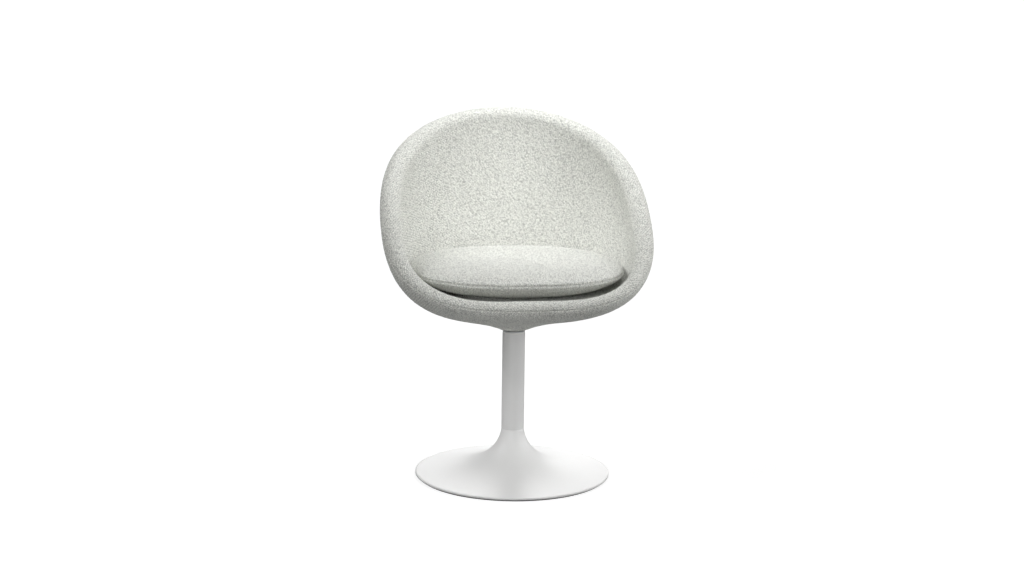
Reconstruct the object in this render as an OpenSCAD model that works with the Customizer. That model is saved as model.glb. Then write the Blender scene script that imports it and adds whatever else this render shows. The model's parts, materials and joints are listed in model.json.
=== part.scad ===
// Pedestal swivel armchair: an upholstered bucket that turns on a round column and a trumpet base.
// Millimetres, +Z up. The origin is on the floor, on the column's axis. The chair faces -Y.

/* [Bucket outline] */
// Widest width of the bucket over its rolled rim
bucket_w = 590; // [550:2:630]
// Reach of the front lip in front of the column axis
bucket_front = 275; // [262:1:285]
// Reach of the rim at the back behind the column axis
bucket_back = 261; // [252:1:272]
// Distance that the bucket's widest place lies in front of the column axis
widest_forward = 28; // [18:1:38]
// Height of the top of the back above the floor
back_top_h = 791; // [740:1:830]
// Height of the rim at the sides above the floor
side_top_h = 589; // [560:1:610]
// Height of the front lip above the floor
front_lip_h = 445; // [440:1:448]
// Radius of the rolled rim at the front lip
rim_front_r = 16; // [14:0.5:18]
// Radius of the rolled rim at the sides
rim_side_r = 22; // [20:0.5:24]
// Radius of the rolled rim at the top of the back
rim_back_r = 20; // [18:0.5:22]
// Height of the fabric's lower edge at the column
neck_h = 330; // [327:0.5:332]
// Radius of the fabric's lower edge at the column
neck_r = 30; // [29:0.5:32]

/* [Bucket layers] */
// Thickness of the upholstery fabric
fabric_t = 2.2; // [1.6:0.1:2.6]
// Thickness of the foam outside the moulded shell
outer_pad_t = 4; // [3:0.5:5.5]
// Thickness of the moulded shell
shell_t = 6; // [5:0.5:8]
// Thickness of the moulded shroud inside the fabric neck
shroud_t = 2.5; // [2:0.1:3]
// Gap between two layers that lie on each other
layer_gap = 0.3; // [0.2:0.05:0.4]
// Height of the bucket's floor above the ground
seat_floor_h = 431; // [429:0.5:433]

/* [Seat cushion] */
// Distance from the bucket's widest place in to the cushion's seam, at each side
side_margin = 62; // [61:1:75]
// Distance from the front lip in to the cushion's seam
front_margin = 36; // [34:1:48]
// Distance from the rim of the back in to the cushion's seam
back_margin = 74; // [72:1:90]
// Height of the cushion's seam above its underside
cushion_seam_h = 35; // [28:1:42]
// Rise of the cushion's crown above its seam
crown_h = 26; // [16:1:34]
// Depth of the sewn channel along the cushion's seam
seam_tuck = 2.5; // [1.5:0.1:3.5]

/* [Cushion fasteners] */
// Radius of the hook and loop discs
grip_disc_r = 22; // [15:1:28]
// Thickness of one hook or loop disc
grip_disc_t = 1.2; // [0.8:0.1:1.4]
// Distance of each disc from the cushion's centre
grip_circle_r = 120; // [90:1:125]

/* [Column] */
// Outside diameter of the column tube
column_d = 50; // [48:0.5:51]
// Wall of the column tube
column_wall = 2; // [1.6:0.1:2.4]
// Height of the column tube's upper end
column_top_h = 322; // [318:0.5:323]
// Height of the joint between the column and the base
base_joint_h = 105; // [95:1:125]

/* [Base] */
// Outside diameter of the trumpet base
base_d = 430; // [400:2:460]
// Wall of the spun trumpet
trumpet_wall = 2; // [1.6:0.1:2.4]
// Height of the trumpet's outer edge above the floor
base_edge_h = 7; // [6:0.5:10]
// Height of the glide ring under the edge
glide_h = 3; // [2:0.5:4]
// Width of the glide ring
glide_w = 12; // [8:1:16]
// Radius of the cast ballast disc
ballast_r = 188; // [150:1:190]
// Greatest height of the ballast above its underside
ballast_t = 16; // [12:0.5:20]

/* [Swivel] */
// Diameter of the swivel spindle
spindle_d = 28; // [26:0.5:30]
// Length of the guide sleeve inside the column
sleeve_len = 118; // [80:1:125]
// Diameter of the bearing balls
ball_d = 5; // [4.5:0.1:5.5]
// Number of bearing balls
ball_count = 12; // [8:1:14]
// Thickness of each bearing race
race_t = 2.5; // [2:0.1:3]
// Diameter of the round plate under the seat
plate_d = 196; // [180:1:198]
// Thickness of the plate under the seat
plate_t = 6; // [5:0.5:7]
// Diameter of the circle on which the four plate bolts lie
bolt_circle_d = 120; // [100:1:136]
// Diameter of the plate bolts
bolt_d = 8; // [6:0.5:9]
// Thickness of the seat board above the shell
board_t = 12; // [9:0.5:14]
// Diameter of the seat board
board_d = 200; // [190:1:204]
// Diameter of the hole in the moulded shell that locates the seat board
shell_hole_d = 160; // [150:1:166]
// Height of the flat underside of the moulded shell
shell_base_h = 372; // [371:0.5:374]

/* [Tie rod] */
// Diameter of the rod that pulls column, trumpet and ballast together
tie_d = 12; // [10:0.5:14]
// Height of the welded plug's underside in the column
plug_h = 165; // [140:1:172]
// Thickness of the welded plug
plug_t = 14; // [10:0.5:16]

/* [Hidden] */

// Colours
powder_white = "#f1f1ee";
boucle_white = "#e8e9e4";
foam_cream = "#efe3c2";
shell_grey = "#8f9392";
plywood = "#d3b684";
bare_steel = "#a9adb0";
cast_iron = "#4b4d4e";
nylon_black = "#2b2b2c";
sleeve_white = "#f7f7f2";

// Clearances, and how far a cut runs past the solid that it cuts
run_gap = 0.05;
ball_gap = 0.03;
weld_gap = 0.02;
hole_gap = 0.5;
clip_gap = 0.1;
touch_gap = 0.2;
cut = 1;

// Facets of round pieces, of the bucket's azimuth and of the cushion's azimuth
round_fn = 96;
small_fn = 32;
bucket_sides = 40;
cushion_sides = 32;
wall_steps = 10;
roll_steps = 5;
inner_steps = 5;
tiny = 0.01;

// Column and bearing stack
column_r = column_d / 2;
column_bore_r = column_r - column_wall;
spindle_r = spindle_d / 2;
sleeve_flange_t = 3;
stack_inset = 0.5;
stack_r = column_r - stack_inset;
sleeve_r = column_bore_r - run_gap;
sleeve_bore_r = spindle_r + run_gap;
lower_race_h = column_top_h + sleeve_flange_t;
ball_r = ball_d / 2;
ball_h = lower_race_h + race_t + ball_gap + ball_r;
upper_race_h = ball_h + ball_r + ball_gap;
race_bore_gap = 1;
race_bore_r = spindle_r + race_bore_gap;
ball_circle_r = (race_bore_r + stack_r) / 2;
cage_t = 1.8;
cage_margin = 0.8;
hub_h = upper_race_h + race_t;
plate_h = shell_base_h - plate_t;
clip_t = 1.75;
clip_depth = 1.5;
clip_proud = 4;
keeper_t = 2;
keeper_play = 0.6;
keeper_proud = 6;
keeper_h = column_top_h - sleeve_len - keeper_play - keeper_t;
clip_h = keeper_h - clip_gap - clip_t;
clip_mouth = 10;
spindle_tail = 6;
spindle_end_h = clip_h - spindle_tail;
spindle_chamfer = 2;

// Proportions of bolts, nuts and washers, as shares of the thread's diameter
head_corner_share = 0.93;
head_height_share = 0.66;
washer_share = 1.1;
flange_share = 1.35;
nut_corner_share = 0.87;

// Bolts between plate and seat board
bolt_count = 4;
bolt_r = bolt_d / 2;
bolt_head_r = bolt_d * head_corner_share;
bolt_head_t = bolt_d * head_height_share;
bolt_washer_r = bolt_d * washer_share;
bolt_washer_t = 1.6;
board_h = shell_base_h + shell_t;
board_top_h = board_h + board_t;
nut_barrel_wall = 1.5;
nut_barrel_r = bolt_r + nut_barrel_wall;
nut_barrel_len = 9;
nut_flange_r = bolt_d * flange_share;
nut_flange_t = 1.5;
bolt_past_nut = 1;
bolt_end_h = board_top_h + nut_flange_t + bolt_past_nut;

// Base
base_r = base_d / 2;
tie_r = tie_d / 2;
glide_inset = 4;
glide_out_r = base_r - glide_inset;
glide_seat_w = glide_w + 2;
trumpet_inner_edge_r = glide_out_r - glide_seat_w;
trumpet_steps = 28;
trumpet_dish_r = 112;
trumpet_dish_h = 9;
trumpet_waist_w = 8;
trumpet_waist_h = 30;
ballast_lift = 1;
ballast_h = glide_h + ballast_lift;
ballast_bore_r = tie_r + hole_gap;
recess_r = 20;
recess_t = 12.5;
tie_washer_r = 16;
tie_washer_t = 2.5;
tie_nut_r = tie_d * nut_corner_share;
tie_nut_t = 9;
tie_nut_h = ballast_h + recess_t - tie_washer_t - tie_nut_t;
tie_rod_recess = 0.2;
tie_rod_h = tie_nut_h + tie_rod_recess;
tie_rod_past_plug = 2;
joint_ring_r = column_bore_r - touch_gap / 2;
joint_ring_wall = 3.5;
joint_ring_below = 25;
joint_ring_above = 25;

// Rim of the bucket: the centre line of its rolled edge, for the front, the sides and the back
rim_n = 2.39;
belly_n = 2.64;
foot_n = 2.55;
rim_half_w = bucket_w / 2 - rim_side_r;
rim_y = -widest_forward;
rim_front_b = bucket_front - rim_front_r - widest_forward;
rim_back_b = bucket_back - rim_back_r + widest_forward;
rim_front_h = front_lip_h - rim_front_r;
rim_side_h = side_top_h - rim_side_r;
rim_back_h = back_top_h - rim_back_r;
rim_sag = 37;
corner_slim = 4;
corner_dip = 4;
lean_front = 79;
lean_side = 94;
lean_back = 111;

// Cushion: its outline at the seam, which is centred between its front and its back
cushion_side = bucket_w / 2 - side_margin;
cushion_front = bucket_front - front_margin;
cushion_back = bucket_back - back_margin;
cushion_half_d = (cushion_front + cushion_back) / 2;
cushion_forward = (cushion_front - cushion_back) / 2;

// Outer wall below the rim: where its straight part ends, and the rings that pull it into its belly
bend_front_h = 400;
bend_side_h = 537;
bend_back_h = 611;
straight_front = rim_front_h - bend_front_h;
straight_side = rim_side_h - bend_side_h;
straight_back = rim_back_h - bend_back_h;
belly_in_side = 28;
belly_in_front = 53;
belly_in_back = 25;
belly_under_lip = 65;
belly_side = bucket_w / 2 - belly_in_side;
belly_front = bucket_front - belly_in_front;
belly_back = bucket_back - belly_in_back;
belly_front_h = front_lip_h - belly_under_lip;
belly_side_h = 343;
belly_back_h = 279;
throat_side = 113;
throat_front = 114;
throat_back = 104;
throat_front_h = 377;
throat_side_h = 368;
throat_back_h = 365;

// Inner wall: where the roll ends, how far it runs straight, and the rings of its foot and floor
roll_end_front = 150;
roll_end_side = 187;
roll_end_back = 164;
drop_front = 0.5;
drop_side = 0.52;
drop_back = 0.32;
foot_out_side = 7;
foot_out_front = 5;
foot_out_back = 39;
floor_in_side = 50;
floor_in_front = 8;
floor_in_back = 66;
foot_side = cushion_side + foot_out_side;
foot_front = cushion_front + foot_out_front;
foot_back = cushion_back + foot_out_back;
floor_side = foot_side - floor_in_side;
floor_front = foot_front - floor_in_front;
floor_back = foot_back - floor_in_back;
floor_ring = 0.5;
seam_turn = 2;

// The first rings of the outer wall, up to the ledge of the moulded shell, and their share of the line
ledge_ring = 2;
ledge_share = 0.25;

// Depths of the layers below the bucket's surface
pad_out = fabric_t + layer_gap;
pad_in = pad_out + outer_pad_t;
core_out = pad_in + layer_gap;
core_in = core_out + shell_t;
foam_out = core_in + layer_gap;
foam_in = fabric_t + layer_gap;

// Pocket in the foam round the seat board, and the least radius of the shell's inside at its ledge
pocket_over = 1;
pocket_round = 2.5;
ledge_round = 1;
pocket_h = bolt_end_h + pocket_over;
pocket_r = board_d / 2 + pocket_round;
shell_ledge_r = pocket_r + ledge_round;

// Cushion
cushion_h = seat_floor_h + 2 * grip_disc_t + 2 * layer_gap;
seam_h = cushion_h + cushion_seam_h;
cushion_n = 2.36;
crown_p = 3;
crown_q = 0.5;
crown_rings = [0.3, 0.6, 0.8, 0.91, 0.965, 0.988];
edge_swell = 3;
edge_squeeze = 0.4;
under_squeeze = 1.4;
seam_split = 0.2;
// Each ring below the seam: share of the cushion's outline and share of the height of the seam
under_rings = [[1, 0.92], [0.975, 0.7], [0.92, 0.46], [0.83, 0.2], [0.7, 0]];
grip_count = 3;

// Value at the front, at the side and at the back, blended by e, which runs from -1 to 1
function blend3(front, side, back, e) =
    side + (back - front) / 2 * e + ((back + front) / 2 - side) * e * e;

function unit(v) = v / norm(v);

function azimuth(i, sides) = 360 * i / sides;

// Point of a rounded oval about the bucket's widest place, a from -Y towards +X
function oval(side, front, back, n, a) =
    let (s = sin(a), c = cos(a), b = c > 0 ? front : back,
        r = pow(pow(abs(s) / side, n) + pow(abs(c) / b, n), -1 / n))
    [r * s, -r * c];

function bucket_oval(side, front, back, n, a) =
    oval(side, front - widest_forward, back + widest_forward, n, a) + [0, rim_y];

// Share of the slimming and dipping of the rim between its front and its sides
function at_corner(e) = e < 0 ? 4 * e * e * (1 - e * e) : 0;

function rim_centre(a) =
    let (e = -cos(a), p = oval(rim_half_w, rim_front_b, rim_back_b, rim_n, a),
        q = p + corner_slim * at_corner(e) * unit(p),
        h = blend3(rim_front_h, rim_side_h, rim_back_h, e) - rim_sag * (e * e * e - e)
            - corner_dip * at_corner(e))
    [q[0], q[1] + rim_y, h];

// Rim frame at azimuth a: centre, outward direction, upward direction and roll radius
function rim_frame(a) =
    let (e = -cos(a), c = rim_centre(a), t = unit(rim_centre(a + 0.1) - rim_centre(a - 0.1)),
        flat_out = unit([t[1], -t[0], 0]), lean = blend3(lean_front, lean_side, lean_back, e),
        m = flat_out * sin(lean) - [0, 0, cos(lean)], out = unit(m - (m * t) * t))
    [c, out, cross(out, t), blend3(rim_front_r, rim_side_r, rim_back_r, e) - corner_slim * at_corner(e)];

// Direction out of the roll at angle g, and the point of the roll there
function roll_way(f, g) = cos(g) * f[1] + sin(g) * f[2];

function roll_point(f, g) = f[0] + f[3] * roll_way(f, g);

// Angle at which the roll ends in the inner wall
function roll_end_at(a) = blend3(roll_end_front, roll_end_side, roll_end_back, -cos(a));

function bezier4(p, t) =
    let (s = 1 - t)
    s * s * s * s * p[0] + 4 * t * s * s * s * p[1] + 6 * t * t * s * s * p[2]
    + 4 * t * t * t * s * p[3] + t * t * t * t * p[4];

function bezier3(p, t) =
    let (s = 1 - t)
    s * s * s * p[0] + 3 * t * s * s * p[1] + 3 * t * t * s * p[2] + t * t * t * p[3];

// Share of the outer wall's line at which ring k lies
function wall_share(k) =
    k < ledge_ring ? ledge_share * k / ledge_ring
    : ledge_share + (1 - ledge_share) * (k - ledge_ring) / (wall_steps - ledge_ring);

// Surface line at azimuth a: neck, outer wall, rolled rim, inner wall, floor
function surface_line(a) =
    let (e = -cos(a), f = rim_frame(a), around = [sin(a), -cos(a)],
        seam = roll_point(f, 0),
        belly = bucket_oval(belly_side, belly_front, belly_back, belly_n, a),
        throat = oval(throat_side, throat_front, throat_back, 2, a),
        outer = [
            [neck_r * around[0], neck_r * around[1], neck_h],
            [throat[0], throat[1], blend3(throat_front_h, throat_side_h, throat_back_h, e)],
            [belly[0], belly[1], blend3(belly_front_h, belly_side_h, belly_back_h, e)],
            seam - blend3(straight_front, straight_side, straight_back, e) * f[2],
            seam],
        roll_end = roll_end_at(a),
        top = roll_point(f, roll_end),
        down = cos(roll_end) * f[2] - sin(roll_end) * f[1],
        foot = bucket_oval(foot_side, foot_front, foot_back, foot_n, a),
        floor_edge = bucket_oval(floor_side, floor_front, floor_back, foot_n, a),
        inner = [
            top,
            top + blend3(drop_front, drop_side, drop_back, e) * (top[2] - seat_floor_h) * down,
            [foot[0], foot[1], seat_floor_h],
            [floor_edge[0], floor_edge[1], seat_floor_h]])
    concat(
        [for (k = [0 : wall_steps]) bezier4(outer, wall_share(k))],
        [roll_point(f, seam_turn)],
        [for (k = [1 : roll_steps]) roll_point(f, roll_end * k / roll_steps)],
        [for (k = [1 : inner_steps]) bezier3(inner, k / inner_steps)],
        [[floor_edge[0] * floor_ring, (floor_edge[1] - rim_y) * floor_ring + rim_y, seat_floor_h]]);

surface = [for (i = [0 : bucket_sides - 1]) surface_line(azimuth(i, bucket_sides))];
line_last = len(surface[0]) - 1;
seam_at = wall_steps;
rim_at = wall_steps + 1;
roll_last = rim_at + roll_steps;
floor_pole = [0, rim_y, seat_floor_h];

// Direction out of the surface: along the roll's radius, and elsewhere square to the nearest points
function surface_normal(i, j) =
    let (n = bucket_sides, a = azimuth(i, n), left = surface[(i + n - 1) % n], right = surface[(i + 1) % n],
        line = surface[i], before = line[max(j - 1, 0)],
        after = j == line_last ? floor_pole : line[j + 1],
        turn = j == seam_at ? 0 : j == rim_at ? seam_turn : roll_end_at(a) * (j - rim_at) / roll_steps)
    j >= seam_at && j <= roll_last ? roll_way(rim_frame(a), turn)
    : unit(cross(right[j] - left[j], after - before));

normals = [for (i = [0 : bucket_sides - 1]) [for (j = [0 : line_last]) surface_normal(i, j)]];

// Point of the layer that lies d below the bucket's surface
function below(i, j, d) = surface[i][j] - d * normals[i][j];

// The point p moved outwards to radius r and upwards to height h, where it is inside or below them
function kept_clear(p, r, h) =
    let (now = norm([p[0], p[1]]), k = max(1, r / now))
    [p[0] * k, p[1] * k, max(p[2], h)];

function circle_point(i, r, h) =
    let (a = azimuth(i, bucket_sides))
    [r * sin(a), -r * cos(a), h];

// The point p moved inwards by d and put at height h
function drawn_in(p, d, h) =
    let (k = 1 - d / norm([p[0], p[1]]))
    [p[0] * k, p[1] * k, h];

// Two triangles for a quad. A side that runs back takes the other diagonal, so that facing sides agree.
function quad(a, b, c, d, back) = back ? [[a, b, d], [b, c, d]] : [[a, b, c], [a, c, d]];

// Solid ring from closed loops, one at each azimuth, which run back from point back_from on
module ring_solid(loops, back_from) {
    n = len(loops);
    m = len(loops[0]);
    polyhedron(
        points = [for (loop = loops) each loop],
        faces = [for (i = [0 : n - 1]) for (k = [0 : m - 1])
            let (i2 = (i + 1) % n, k2 = (k + 1) % m,
                a = i * m + k, b = i * m + k2, c = i2 * m + k2, d = i2 * m + k)
            each quad(a, b, c, d, k >= back_from)],
        convexity = 6);
}

// Solid without a hole, from open lines that start at one pole, run back over points back[0] to back[1]
// and end at another pole
module pole_solid(start, lines, end, back) {
    n = len(lines);
    m = len(lines[0]);
    polyhedron(
        points = concat([start, end], [for (line = lines) each line]),
        faces = [for (i = [0 : n - 1])
            let (i2 = (i + 1) % n, first = 2 + i * m, next = 2 + i2 * m)
            each concat(
                [[0, first, next]],
                [for (k = [0 : m - 2]) each
                    quad(first + k, first + k + 1, next + k + 1, next + k, k >= back[0] && k < back[1])],
                [[first + m - 1, 1, next + m - 1]])],
        convexity = 6);
}

// Ring between heights low and high
module tube(low, high, outer_r, bore_r, fn = round_fn) {
    translate([0, 0, low])
        difference() {
            cylinder(h = high - low, r = outer_r, $fn = fn);
            translate([0, 0, -cut])
                cylinder(h = high - low + 2 * cut, r = bore_r, $fn = fn);
        }
}

module disc(low, high, r, fn = round_fn) {
    translate([0, 0, low])
        cylinder(h = high - low, r = r, $fn = fn);
}

module hexagon(low, high, corner_r) {
    translate([0, 0, low])
        cylinder(h = high - low, r = corner_r, $fn = 6);
}

module on_bolts() {
    for (k = [0 : bolt_count - 1])
        rotate([0, 0, 45 + 360 * k / bolt_count])
            translate([bolt_circle_d / 2, 0, 0])
                children();
}

// Outline of the trumpet, from its edge on the floor up to the column
trumpet_curve = [[base_r, base_edge_h], [trumpet_dish_r, base_edge_h + trumpet_dish_h],
    [column_r + trumpet_waist_w, base_edge_h + trumpet_waist_h], [column_r, base_joint_h]];

function trumpet_slope(t) =
    let (s = 1 - t, p = trumpet_curve)
    unit(3 * s * s * (p[1] - p[0]) + 6 * s * t * (p[2] - p[1]) + 3 * t * t * (p[3] - p[2]));

// Point of the line that lies depth d inside the trumpet
function trumpet_point(t, d) =
    let (v = trumpet_slope(t))
    bezier3(trumpet_curve, t) - d * [v[1], -v[0]];

function trumpet_line(d) = [for (k = [0 : trumpet_steps]) trumpet_point(k / trumpet_steps, d)];

// Height of the last point of a line that isn't inside radius r
function height_outside(line, r) =
    let (heights = [for (p = line) if (p[0] >= r) p[1]])
    heights[len(heights) - 1];

// Radius of the first point of a line that isn't below height h
function radius_above(line, h) =
    let (radii = [for (p = line) if (p[1] >= h) p[0]])
    radii[0];

module trumpet_base() {
    line = trumpet_line(trumpet_wall);
    inner = [for (p = line) if (p[0] < trumpet_inner_edge_r && p[1] < base_joint_h - tiny) p];
    color(powder_white)
        rotate_extrude($fn = round_fn)
            polygon(concat(
                [[base_r, glide_h]],
                trumpet_line(0),
                [[column_bore_r, base_joint_h]],
                [for (k = [len(inner) - 1 : -1 : 0]) inner[k]],
                [[trumpet_inner_edge_r, height_outside(line, trumpet_inner_edge_r)],
                    [trumpet_inner_edge_r, glide_h]]));
}

module base_ballast() {
    line = trumpet_line(trumpet_wall + touch_gap);
    top = ballast_h + ballast_t;
    skin = [for (p = line) if (p[0] < ballast_r && p[1] < top) p];
    color(cast_iron)
        difference() {
            rotate_extrude($fn = round_fn)
                polygon(concat(
                    [[0, ballast_h], [ballast_r, ballast_h], [ballast_r, height_outside(line, ballast_r)]],
                    skin,
                    [[radius_above(line, top), top], [0, top]]));
            disc(ballast_h - cut, ballast_h + recess_t, recess_r);
            disc(ballast_h, top + cut, ballast_bore_r);
        }
}

module base_glide_ring() {
    color(nylon_black)
        tube(0, glide_h, glide_out_r, glide_out_r - glide_w);
}

module joint_ring() {
    color(bare_steel)
        tube(base_joint_h - joint_ring_below, base_joint_h + joint_ring_above,
            joint_ring_r, joint_ring_r - joint_ring_wall);
}

module stand_tube() {
    color(powder_white)
        tube(base_joint_h, column_top_h, column_r, column_bore_r);
}

module tube_plug() {
    color(bare_steel)
        tube(plug_h, plug_h + plug_t, column_bore_r - weld_gap, tie_r + weld_gap);
}

module tie_rod() {
    color(bare_steel)
        disc(tie_rod_h, plug_h + plug_t + tie_rod_past_plug, tie_r);
}

module tie_washer() {
    color(bare_steel)
        tube(ballast_h + recess_t - tie_washer_t, ballast_h + recess_t, tie_washer_r, tie_r + hole_gap);
}

module tie_nut() {
    color(bare_steel)
        difference() {
            hexagon(tie_nut_h, tie_nut_h + tie_nut_t, tie_nut_r);
            disc(tie_nut_h - cut, tie_nut_h + tie_nut_t + cut, tie_r + weld_gap);
        }
}

module guide_sleeve() {
    color(sleeve_white)
        difference() {
            union() {
                disc(column_top_h - sleeve_len, column_top_h, sleeve_r);
                disc(column_top_h, column_top_h + sleeve_flange_t, stack_r);
            }
            disc(column_top_h - sleeve_len - cut, column_top_h + sleeve_flange_t + cut, sleeve_bore_r);
        }
}

module lower_race() {
    color(bare_steel)
        tube(lower_race_h, lower_race_h + race_t, stack_r, race_bore_r);
}

module on_balls() {
    for (k = [0 : ball_count - 1])
        rotate([0, 0, 360 * k / ball_count])
            translate([ball_circle_r, 0, 0])
                children();
}

module ball_cage() {
    color(sleeve_white)
        difference() {
            tube(ball_h - cage_t / 2, ball_h + cage_t / 2, stack_r - cage_margin, race_bore_r + cage_margin);
            on_balls()
                disc(ball_h - cage_t, ball_h + cage_t, ball_r + run_gap, small_fn);
        }
}

module bearing_balls() {
    color(bare_steel)
        on_balls()
            translate([0, 0, ball_h])
                sphere(r = ball_r, $fn = small_fn);
}

module upper_race() {
    color(bare_steel)
        tube(upper_race_h, upper_race_h + race_t, stack_r, race_bore_r);
}

module swivel_spindle() {
    color(bare_steel)
        difference() {
            union() {
                disc(spindle_end_h + spindle_chamfer, shell_base_h, spindle_r);
                translate([0, 0, spindle_end_h])
                    cylinder(h = spindle_chamfer, r1 = spindle_r - spindle_chamfer, r2 = spindle_r,
                        $fn = round_fn);
            }
            tube(clip_h, clip_h + clip_t + clip_gap, spindle_r + cut, spindle_r - clip_depth);
        }
}

module spindle_washer() {
    color(bare_steel)
        tube(keeper_h, keeper_h + keeper_t, spindle_r + keeper_proud, spindle_r + run_gap);
}

module spindle_clip() {
    color(bare_steel)
        difference() {
            tube(clip_h + clip_gap / 2, clip_h + clip_gap / 2 + clip_t, spindle_r + clip_proud,
                spindle_r - clip_depth + run_gap);
            translate([-clip_mouth / 2, 0, clip_h - cut])
                cube([clip_mouth, spindle_r * 2, clip_t + 2 * cut]);
        }
}

module spindle_hub() {
    color(bare_steel)
        tube(hub_h, plate_h, stack_r, spindle_r + weld_gap);
}

module swivel_plate() {
    color(bare_steel)
        difference() {
            tube(plate_h, shell_base_h, plate_d / 2, spindle_r + weld_gap);
            on_bolts()
                disc(plate_h - cut, shell_base_h + cut, bolt_r + hole_gap, small_fn);
        }
}

module plate_bolts() {
    color(bare_steel)
        on_bolts() {
            hexagon(plate_h - bolt_washer_t - bolt_head_t, plate_h - bolt_washer_t, bolt_head_r);
            disc(plate_h - bolt_washer_t, bolt_end_h, bolt_r, small_fn);
        }
}

module bolt_washers() {
    color(bare_steel)
        on_bolts()
            tube(plate_h - bolt_washer_t, plate_h, bolt_washer_r, bolt_r + hole_gap, small_fn);
}

module board_nuts() {
    color(bare_steel)
        on_bolts()
            difference() {
                union() {
                    disc(board_top_h - nut_barrel_len, board_top_h, nut_barrel_r, small_fn);
                    disc(board_top_h, board_top_h + nut_flange_t, nut_flange_r, small_fn);
                }
                disc(board_top_h - nut_barrel_len - cut, board_top_h + nut_flange_t + cut,
                    bolt_r + weld_gap, small_fn);
            }
}

module seat_board() {
    color(plywood)
        difference() {
            union() {
                disc(shell_base_h, board_h + tiny, shell_hole_d / 2 - touch_gap);
                disc(board_h, board_top_h, board_d / 2);
            }
            on_bolts() {
                disc(shell_base_h - cut, board_top_h + cut, bolt_r + hole_gap, small_fn);
                disc(board_top_h - nut_barrel_len - cut, board_top_h + cut,
                    nut_barrel_r + weld_gap, small_fn);
            }
        }
}

// The shroud follows the fabric neck and ends in an upright edge under the moulded shell
module neck_shroud() {
    edge_h = shell_base_h - layer_gap;
    loops = [for (i = [0 : bucket_sides - 1])
        let (outer = below(i, ledge_ring, pad_out), inner_gap = layer_gap + shroud_t)
        concat(
            [for (j = [0 : ledge_ring - 1]) below(i, j, pad_out)],
            [drawn_in(outer, layer_gap, outer[2]), drawn_in(outer, layer_gap, edge_h)],
            [drawn_in(outer, inner_gap, edge_h), drawn_in(outer, inner_gap, outer[2] + shroud_t)],
            [for (j = [ledge_ring - 1 : -1 : 0]) below(i, j, pad_out + shroud_t)])];
    color(nylon_black)
        ring_solid(loops, ledge_ring + 2);
}

// The moulded shell stands on a flat ledge round the hole for the seat board
module shell_core() {
    hole_r = shell_hole_d / 2 / cos(180 / bucket_sides);
    loops = [for (i = [0 : bucket_sides - 1]) concat(
        [circle_point(i, hole_r, shell_base_h)],
        [for (j = [ledge_ring : seam_at])
            kept_clear(below(i, j, core_out), shell_ledge_r + core_in - core_out, shell_base_h)],
        [for (j = [seam_at : -1 : ledge_ring]) kept_clear(below(i, j, core_in), shell_ledge_r, board_h)],
        [circle_point(i, hole_r, board_h)])];
    color(shell_grey)
        ring_solid(loops, seam_at - ledge_ring + 2);
}

module outer_pad() {
    loops = [for (i = [0 : bucket_sides - 1]) concat(
        [for (j = [ledge_ring : seam_at]) below(i, j, pad_out)],
        [for (j = [seam_at : -1 : ledge_ring + 1]) below(i, j, pad_in)],
        [drawn_in(below(i, ledge_ring, pad_out), 0, shell_base_h - layer_gap)])];
    color(foam_cream)
        ring_solid(loops, seam_at - ledge_ring + 1);
}

module outer_cover() {
    loops = [for (i = [0 : bucket_sides - 1]) concat(
        [for (j = [0 : seam_at]) below(i, j, 0)],
        [for (j = [seam_at : -1 : 0]) below(i, j, fabric_t)])];
    color(boucle_white)
        ring_solid(loops, seam_at + 1);
}

// The foam fills the shell round the seat board, and wraps over the shell's edge
module inner_foam() {
    lines = [for (i = [0 : bucket_sides - 1])
        let (f = rim_frame(azimuth(i, bucket_sides)))
        concat(
            [circle_point(i, pocket_r, pocket_h), circle_point(i, pocket_r, board_h + layer_gap)],
            [for (j = [ledge_ring : seam_at])
                kept_clear(below(i, j, foam_out), shell_ledge_r, board_h + layer_gap)
                + (j == seam_at ? layer_gap : 0) * f[2]],
            [for (j = [rim_at : line_last]) below(i, j, foam_in)])];
    color(foam_cream)
        pole_solid([0, 0, pocket_h], lines, floor_pole - [0, 0, foam_in], [0, 0]);
}

module inner_cover() {
    lines = [for (i = [0 : bucket_sides - 1]) concat(
        [for (j = [line_last : -1 : rim_at]) below(i, j, fabric_t)],
        [for (j = [rim_at : line_last]) below(i, j, 0)])];
    color(boucle_white)
        pole_solid(floor_pole - [0, 0, fabric_t], lines, floor_pole, [0, line_last - rim_at]);
}

// One disc at each grip place on the bucket's floor
module on_grips() {
    translate([0, -cushion_forward, 0])
        for (k = [0 : grip_count - 1])
            rotate([0, 0, 360 * k / grip_count])
                translate([0, grip_circle_r, 0])
                    children();
}

module hook_discs() {
    color(nylon_black)
        on_grips()
            disc(seat_floor_h, seat_floor_h + grip_disc_t, grip_disc_r, small_fn);
}

module loop_discs() {
    color(boucle_white)
        on_grips()
            disc(cushion_h - layer_gap - grip_disc_t, cushion_h - layer_gap, grip_disc_r, small_fn);
}

function cushion_point(i, u, h, inset) =
    let (half_d = cushion_half_d - inset,
        p = oval(cushion_side - inset, half_d, half_d, cushion_n, azimuth(i, cushion_sides)))
    [u * p[0], u * p[1] - cushion_forward, h];

function crown_at(u) = seam_h + crown_h * pow(1 - pow(u, crown_p), crown_q);

cushion_pole = [0, -cushion_forward, 0];

// Upper face of the cushion from its crown out to the seam, with inset as the depth below its surface
function upper_line(i, inset) = concat(
    [for (u = crown_rings) cushion_point(i, u, crown_at(u) - inset, inset)],
    [cushion_point(i, 1, seam_h + edge_swell - inset * edge_squeeze, inset)],
    [cushion_point(i, 1, seam_h + seam_split, seam_tuck + inset)]);

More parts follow.
